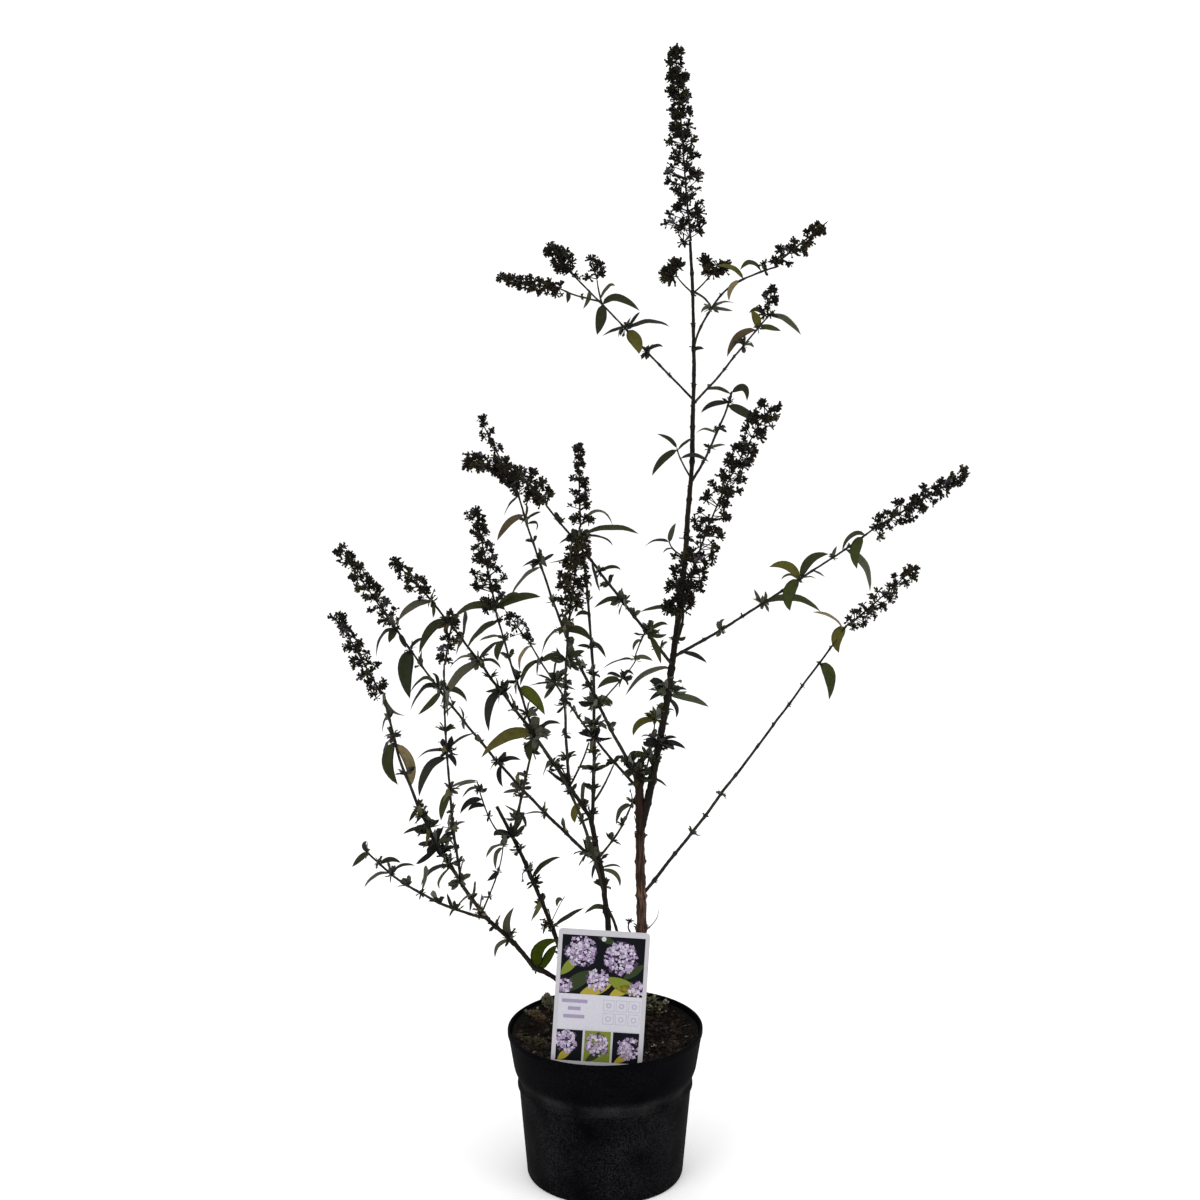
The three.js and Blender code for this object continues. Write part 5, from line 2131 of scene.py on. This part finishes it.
LARGE_OUTLINE, SMALL_OUTLINE = (0.62, 0.85), (0.62, 0.55)  # how slowly a leaf widens, and narrows
OUTLINE_PEAK = 0.395  # the greatest value of share^0.62 (1 - share)^0.85
LEAF_THICKNESS = (0.045, 0.12 * MM, 0.35 * MM)  # half of it: as a share of the width, least, most
LEAF_TROUGH, LEAF_WAVE = 0.32, 0.1  # how far the edges rise, and wave, as shares of the half width
LEAF_TWIST = 0.35  # in radians


class Blade(NamedTuple):
    """One leaf where it grows."""

    base: Array
    middle: Array  # a point half way along it
    tip: Array
    face: Array  # the way its upper side looks
    width: float
    tint: Tint

    @staticmethod
    def shape(blades: list[Blade], seed: int, rings: int = 9, fine: bool = True) -> Shape:
        """Leaves as closed thin blades.

        A blade follows the arc through its three points. Its half width is share^a (1 - share)^b,
        with its outline's a and b and scaled to its width. Its halves rise from the midrib, its
        edges are a little wavy, and it twists slightly towards its tip.

        Args:
            blades: The leaves.
            seed: Which twists and waves are drawn.
            rings: How many rings a blade has between its ends.
            fine: Whether a ring has eight points, or four, and the blade a blunter tip.

        Returns:
            The shape.
        """
        rng = np.random.default_rng(seed)
        *spots, width, tint = zip(*blades)
        base, middle, tip, face = (np.array(spot)[:, None] for spot in spots)
        width = np.array(width)[:, None]
        count = len(width)
        control = 2 * middle - (base + tip) / 2
        share = np.linspace(0, 1, rings + 2)[1:-1] * 0.94 + 0.03
        there, back = share[:, None], 1 - share[:, None]
        line = back**2 * base + 2 * there * back * control + there**2 * tip
        along = unit(2 * back * (control - base) + 2 * there * (tip - control))
        side = unit(np.cross(along, face))
        rise = np.cross(side, along)
        twist = (rng.normal(scale=LEAF_TWIST, size=(count, 1)) * share)[..., None]
        cos, sin = np.cos(twist), np.sin(twist)
        side, rise = side * cos + rise * sin, rise * cos - side * sin
        if fine:
            out = np.array([-1, -0.55, 0, 0.55, 1, 0.55, 0, -0.55])
            skinned = np.array([0, 0.8, 1, 0.8, 0, -0.8, -1, -0.8])
        else:
            out, skinned = np.array([-1, 0, 1, 0]), np.array([0, 1, 0, -1])
        widens, narrows = LARGE_OUTLINE if fine else SMALL_OUTLINE
        spread = share**widens * (1 - share) ** narrows / OUTLINE_PEAK
        half = (width / 2 * spread)[..., None]
        usual, least, most = LEAF_THICKNESS
        thick = (np.clip(width * usual, least, most) * (0.4 + 0.6 * spread))[..., None]
        wave = np.sin(share * rng.uniform(9, 16, (count, 1)) + rng.uniform(0, 6, (count, 1)))
        lift = LEAF_TROUGH * np.abs(out) + LEAF_WAVE * wave[..., None] * out**2
        raised = half * lift + thick * skinned
        points = side[:, :, None] * (half * out)[..., None] + rise[:, :, None] * raised[..., None]
        rounds = (line[:, :, None] + points)[:, :, ::-1]
        return skin(rounds, base[:, 0], tip[:, 0], [one.number() for one in tint])


class Foliage:
    """The leaves: those that show from the front, and the small ones at every joint."""

    SPROUT_GAP = 36 * MM
    FULLER = 2.1  # how many leaves a star has for each one that can be told apart
    STRETCH = 1.22  # how far its leaves go past the reach that can be told apart
    NARROW = 0.21  # a leaf's width as a share of its length
    BEND = 0.6  # how much of the drawn bend a leaf's midrib takes
    WIDTHS = (2.6 * MM, 10 * MM)  # of the leaves that show, from and to
    LONG = (18, 36)  # the seeded longer leaves, from and to, in millimetres
    SHORTEST = 10 * MM  # of those that the plant's depth cuts short
    SMALL, BUDS = (4.0 * MM, 11.5 * MM), (2.6 * MM, 3.8 * MM)  # the lengths at a seeded joint
    ROUND_A_BOX = 1.15  # how much further than its box a mass reaches
    FORWARD = 0.45  # how far forward or back a leaf that shows may go, as a share of its length
    BACKED = 0.94  # the share of the missing width that is turned away from the front
    STAR_UP, STAR_ALONG, STAR_FLAT = 0.35, 0.25, 0.6  # how a star leans up, along, and off its shoot
    STAR_REACHES, STAR_WIDTHS = (0.45, 1.1), (0.24, 0.46)
    STAR_DROOPS = (-0.22, 0.3)  # how far its leaves arch, as shares of their length
    ODD = 0.25  # the share of a star's leaves in another green than its main one
    BUD_WIDTHS = (0.34, 0.5)
    FACES_AWAY = 0.7  # how squarely a joint's side faces the front or the back to have a long leaf

    def __init__(self, wood: Wood) -> None:
        """Keeps the wood, and the boxes of the leaf masses.

        Args:
            wood: The wood that the leaves grow on.
        """
        self.wood = wood
        self.large: dict[str, list[Blade]] = defaultdict(list)
        self.small: dict[str, list[Blade]] = defaultdict(list)
        self.joints: dict[str, list[float]] = defaultdict(list)
        self.boxes = {name: np.array(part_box(name)) for name in LEAF_MASSES}

    def mass_of(self, point: Array) -> str:
        """Tells which mass of leaves grows at a place.

        Args:
            point: The place.

        Returns:
            The mass whose box holds it, or bough_leaves where none does.
        """
        for name, (low, high) in self.boxes.items():
            if (np.abs(point - (low + high) / 2) < (high - low) / 2 * self.ROUND_A_BOX).all():
                return name
        return "bough_leaves"

    def leaf(self, shoot: Shoot, leaf: Leaf, rng: Rng) -> None:
        """Grows one leaf that shows from the front.

        Its foot is on the shoot, at the shoot's own depth. Its tip comes forward or goes back by
        a seeded share of its length. Where it looks narrower than such a leaf is, it is turned
        edge on to the front by as much.

        Args:
            shoot: The shoot that carries it.
            leaf: Its places in the front view.
            rng: Where its depth is drawn.
        """
        number = shoot.nearest(leaf.base)
        foot = shoot.line[number]
        metre = VIEW.metres(foot[1])
        seen = metre * (math.dist(leaf.base, leaf.middle) + math.dist(leaf.middle, leaf.tip))
        depth = foot[1] + rng.uniform(-self.FORWARD, self.FORWARD) * seen
        depth = float(np.clip(depth, CAD_BOX[0][1], CAD_BOX[1][1])) - foot[1]
        chord = (np.array(leaf.base) + np.array(leaf.tip)) / 2
        bend = chord + (np.array(leaf.middle) - chord) * self.BEND
        middle = VIEW.at_depth(bend, foot[1] + depth * 0.4)
        tip = VIEW.at_depth(leaf.tip, foot[1] + depth)
        sight = unit(foot - np.array(VIEW.place))
        rim = unit(np.cross(unit(tip - foot), sight))
        rim = rim * (1 if rim[2] > 0 else -1)
        width = leaf.width * metre
        least, most = self.WIDTHS
        real = max(width, min(max(self.NARROW * seen, least), most))
        roll = math.acos(min(1, width / real)) * self.BACKED
        face = unit(-sight * math.cos(roll) + rim * math.sin(roll))
        self.large[self.mass_of(middle)].append(Blade(foot, middle, tip, face, real, leaf.tint))
        self.joints[shoot.name].append(float(shoot.run[number]))

    def tuft(self, shoot: Shoot, number: int, tuft: Tuft, rng: Rng) -> None:
        """Grows a star of small leaves round a joint, more of them upwards than down.

        Args:
            shoot: The shoot.
            number: The number of the joint's point.
            tuft: The star's plan.
            rng: Where their directions are drawn.
        """
        foot, along = shoot.line[number], shoot.along[number]
        count = round(tuft.count * self.FULLER)
        way = rng.normal(size=(count, 3)) + self.STAR_UP * UP + self.STAR_ALONG * along
        way = unit(way - self.STAR_FLAT * (way @ along)[:, None] * along)
        reach = tuft.reach * VIEW.metres(foot[1]) * self.STRETCH
        blades = self.small[self.mass_of(foot)]
        for direction, size in zip(way, reach * rng.uniform(*self.STAR_REACHES, count)):
            start = foot + direction * shoot.radius[number] * 0.5
            droop = UP * size * rng.uniform(*self.STAR_DROOPS)
            face = unit(UP + rng.normal(scale=0.5, size=3))
            tint = tuft.tint if rng.random() < 1 - self.ODD else rng.choice([DARK, DOWNY, OLIVE])
            middle, tip = start + direction * size / 2 + droop, start + direction * size
            width = size * rng.uniform(*self.STAR_WIDTHS)
            blades.append(Blade(start, middle, tip, face, width, tint))
        self.joints[shoot.name].append(float(shoot.run[number]))

    def sprout(self, shoot: Shoot, leafy: float, seed: int) -> None:
        """Fills the stretches of a shoot that have no joint yet, by a seeded rule.

        Joints follow each other by about the sprout gap. Each has a pair of buds or small leaves,
        each pair a quarter turn from the last, and here and there a longer leaf that grows away
        from the front or towards it, so the plant is leafy from all sides.

        Args:
            shoot: The shoot.
            leafy: How often a joint has a longer leaf; at 0 it has only buds.
            seed: Which draws it takes.
        """
        rng = np.random.default_rng(seed)
        joints = self.joints[shoot.name]
        marks = [8 * MM, *sorted(joints), shoot.length - 4 * MM]
        one, two = across_to(shoot.along)
        number = 0
        for low, high in zip(marks[:-1], marks[1:]):
            between = int((high - low) / self.SPROUT_GAP)
            for step in range(between):
                run = low + (high - low) * (step + 1 + rng.uniform(-0.2, 0.2)) / (between + 1)
                at = shoot.number_at(run)
                turn = number * math.pi / 2 + rng.normal(scale=0.4)
                number += 1
                joints.append(run)
                for sign in (-1, 1):
                    out = sign * (one[at] * math.cos(turn) + two[at] * math.sin(turn))
                    self.pair_leaf(shoot, at, out, leafy, rng)

    def pair_leaf(self, shoot: Shoot, at: int, out: Array, leafy: float, rng: Rng) -> None:
        """One side of a joint's pair: a bud or a few tiny leaves, and sometimes one longer leaf.

        Args:
            shoot: The shoot.
            at: The number of the joint's point.
            out: The side's direction.
            leafy: How often there is a longer leaf.
            rng: Where the draws come from.
        """
        foot = shoot.line[at] + out * shoot.radius[at] * 0.5
        blades = self.small[self.mass_of(foot)]
        count, lengths = (rng.integers(3, 7), self.SMALL) if leafy else (2, self.BUDS)
        for _ in range(count):
            way = unit(out + 0.5 * UP + 0.4 * shoot.along[at] + rng.normal(scale=0.4, size=3))
            size = rng.uniform(*lengths)
            middle, tip = foot + way * size / 2 + UP * size * 0.08, foot + way * size
            face = unit(UP + rng.normal(scale=0.4, size=3))
            width = size * rng.uniform(*self.BUD_WIDTHS)
            blades.append(Blade(foot, middle, tip, face, width, rng.choice([DARK, GREY, DUSKY])))
        if abs(out[1]) > self.FACES_AWAY and rng.random() < leafy:
            self.long_leaf(shoot, at, out, rng)

    def long_leaf(self, shoot: Shoot, at: int, out: Array, rng: Rng) -> None:
        """A seeded leaf of full length that arches out from a joint and droops a little.

        It is shorter where it would leave the plant's depth, and left out where too short.

        Args:
            shoot: The shoot.
            at: The number of the joint's point.
            out: The leaf's direction.
            rng: Where the draws come from.
        """
        foot = shoot.line[at] + out * shoot.radius[at] * 0.5
        way = unit(out * np.array([0.35, 1, 1]) + 0.15 * UP + rng.normal(scale=0.15, size=3))
        end = CAD_BOX[1 if way[1] > 0 else 0][1]
        size = min(rng.uniform(*self.LONG) * MM, abs((end - foot[1]) / way[1]))
        if size < self.SHORTEST:
            return
        droop = UP * size * rng.uniform(0.05, 0.16)
        sideways = np.array([rng.choice([-1, 1]), 0, 0.4])
        middle, tip = foot + way * size / 2 + droop, foot + way * size - droop
        face = unit(sideways + rng.normal(scale=0.15, size=3))
        width = size * self.NARROW * rng.uniform(0.9, 1.3)
        tint = rng.choice([DUSKY, OLIVE, DOWNY, DARK, YELLOW])
        self.large[self.mass_of(foot)].append(Blade(foot, middle, tip, face, width, tint))

    def grow(self) -> None:
        """Grows every leaf: the ones that show, the stars at their joints, then the seeded ones."""
        for name, rows in LEAVES.items():
            rng = np.random.default_rng(sum(map(ord, name)))
            for row in rows:
                self.leaf(self.wood.shoots[name], Leaf(row[:2], row[2:4], row[4:6], *row[6:]), rng)
        leafy = {plan.node: plan.leafy for plan in LIMBS}
        for name, rows in TUFTS.items():
            rng = np.random.default_rng(sum(map(ord, name)) + 5)
            shoot = self.wood.shoots[name]
            for row in rows:
                tuft = Tuft(row[:2], *row[2:])
                number = shoot.nearest(tuft.place)
                self.tuft(shoot, number, tuft, rng)
                for way in (-1, 1):
                    if rng.random() < leafy.get(name, 0):
                        out = unit(np.array([rng.normal(scale=0.25), way, rng.normal(scale=0.3)]))
                        self.long_leaf(shoot, number, out, rng)
        for number, plan in enumerate(LIMBS):
            self.sprout(self.wood.shoots[plan.node], plan.leafy, 2000 + number)

    def build(self) -> None:
        """Makes one piece for each leaf mass and one for the leaves between them."""
        for number, name in enumerate([*LEAF_MASSES, "bough_leaves"]):
            shapes = []
            if self.large[name]:
                shapes.append(Blade.shape(self.large[name], 100 + number))
            if self.small[name]:
                shapes.append(Blade.shape(self.small[name], 200 + number, 4, False))
            piece = Shape.joined(shapes).build(f"sprigs_{name}", Tint.finishes())
            settle(piece, "foliage", *([name] if name in LEAF_MASSES else []))


# ---- Small growth on the compost ----


@dataclass(frozen=True)
class Cushion:
    """A low clump on the compost: moss, or a crumbling ball of dry moss; sizes in millimetres."""

    place: Spot
    reach: Spot
    height: float
    count: int
    length: float  # of one leaflet
    tints: tuple[Tint, ...]


@dataclass(frozen=True)
class Seedling:
    """A weed seedling of a few pairs of small leaves; sizes in millimetres."""

    place: Spot
    height: float
    pairs: int
    length: float


class GroundGrowth:
    """Moss and weed seedlings that have come up on the compost by themselves."""

    CUSHIONS = (
        Cushion((-69, 0), (13, 9), 3.0, 420, 2.6, (YELLOW, OLIVE, GREY)),
        Cushion((-56, 67), (6, 5), 10.0, 420, 3.0, (TAN, PALE, PALE)),
        Cushion((-67, 46), (7, 4), 4.0, 340, 3.0, (RUST, BROWN, TAN)),
        Cushion((52, 65), (10, 6), 2.0, 260, 2.8, (YELLOW, OLIVE, GREY)),
        Cushion((58, 30), (5, 4), 1.5, 60, 2.2, (DUSKY, GREY)),
        Cushion((61, 65), (2.2, 1.6), 3.0, 28, 3.4, (WHITISH,)),
        Cushion((-76, 44), (2.5, 2), 1.5, 36, 2.0, (PALE, GREY)),
        Cushion((47, -10), (1.3, 1.3), 1.2, 22, 2.0, (WHITISH,)),
        Cushion((56, 5), (1.1, 1), 1.0, 16, 1.8, (WHITISH, PALE)),
    )
    SEEDLINGS = (
        Seedling((44, 71), 9, 3, 6.5),
        Seedling((50, 68), 10, 4, 6.5),
        Seedling((55, 60), 7, 3, 6.0),
        Seedling((38, 74), 9, 3, 6.5),
        Seedling((47, 61), 7, 3, 6.0),
        Seedling((54, 55), 6, 2, 5.5),
        Seedling((41, 65), 6, 3, 6.0),
        Seedling((-66, 48), 6, 2, 4.5),
    )
    STALK = (0.55 * MM, 0.35 * MM)

    def __init__(self, compost: Compost) -> None:
        """Keeps the compost that everything stands on."""
        self.compost = compost
        self.blades: list[Blade] = []

    def foot(self, spot: Spot) -> Array:
        """The point of the compost's top at a place given in millimetres."""
        return self.compost.surface(np.array([*spot, 0]) * MM)

    def cushion(self, plan: Cushion, rng: Rng) -> None:
        """Sets leaflets all over a low dome, each standing off it.

        Args:
            plan: The cushion.
            rng: Where the draws come from.
        """
        for _ in range(plan.count):
            turn, out = rng.uniform(0, 2 * math.pi), math.sqrt(rng.uniform(0, 1))
            off = polar(out, turn)
            base = self.foot(np.array(plan.place) + off[:2] * plan.reach)
            base = base + UP * plan.height * MM * max(0, 1 - out**2) * rng.uniform(0.7, 1)
            way = unit(off + 0.6 * UP + rng.normal(scale=0.45, size=3))
            tip = base + way * plan.length * MM * rng.uniform(0.6, 1.2)
            face = unit(UP + rng.normal(scale=0.5, size=3))
            wide = plan.length * MM * rng.uniform(0.3, 0.5)
            foot = base - way * 0.6 * MM
            self.blades.append(Blade(foot, (base + tip) / 2, tip, face, wide, rng.choice(plan.tints)))

    def seedling(self, plan: Seedling, rng: Rng) -> tuple[Array, Array]:
        """Sets the leaves of one seedling in crossed pairs up its stalk.

        Args:
            plan: The seedling.
            rng: Where the draws come from.

        Returns:
            The foot and the tip of its stalk.
        """
        foot = self.foot(plan.place)
        top = foot + plan.height * MM * unit(UP + rng.normal(scale=0.12, size=3))
        for pair in range(plan.pairs):
            base = foot + (top - foot) * (pair + 1) / plan.pairs
            turn = pair * math.pi / 2 + rng.normal(scale=0.3)
            for sign in (-1, 1):
                way = unit(polar(sign, turn) + 0.5 * UP)
                tip = base + way * plan.length * MM * rng.uniform(0.8, 1.1)
                middle = (base + tip) / 2 + UP * 0.6 * MM
                tint = rng.choice([PALE, PALE, YELLOW, YELLOW])
                wide = plan.length * MM / 2
                self.blades.append(Blade(base, middle, tip, unit(UP + 0.2 * way), wide, tint))
        return foot - UP * MM, top

    def build(self) -> None:
        """Makes the moss and the seedlings one piece, with their stalks."""
        rng = np.random.default_rng(64)
        for plan in self.CUSHIONS:
            self.cushion(plan, rng)
        ends = np.array([self.seedling(plan, rng) for plan in self.SEEDLINGS])
        stalks = struts(ends[:, 0], ends[:, 1], self.STALK, 5, DOWNY.number())
        leaves = Blade.shape(self.blades, 640, 3, False)
        settle(Shape.joined([leaves, stalks]).build("ground_growth", Tint.finishes()), "compost")


def main() -> None:
    """Builds the studio, the pot and the plant, in that order."""
    logging.basicConfig(level=logging.INFO, format="%(message)s")
    VIEW.make()
    Studio().make()
    pot = NurseryPot()
    pot.build()
    compost = Compost()
    compost.build(pot)
    GroundGrowth(compost).build()
    LabelCard().build()
    wood = Wood()
    foliage = Foliage(wood)
    foliage.grow()
    wood.build(foliage.joints)
    SpentBlossom(wood).build()
    foliage.build()


if __name__ == "__main__":
    main()
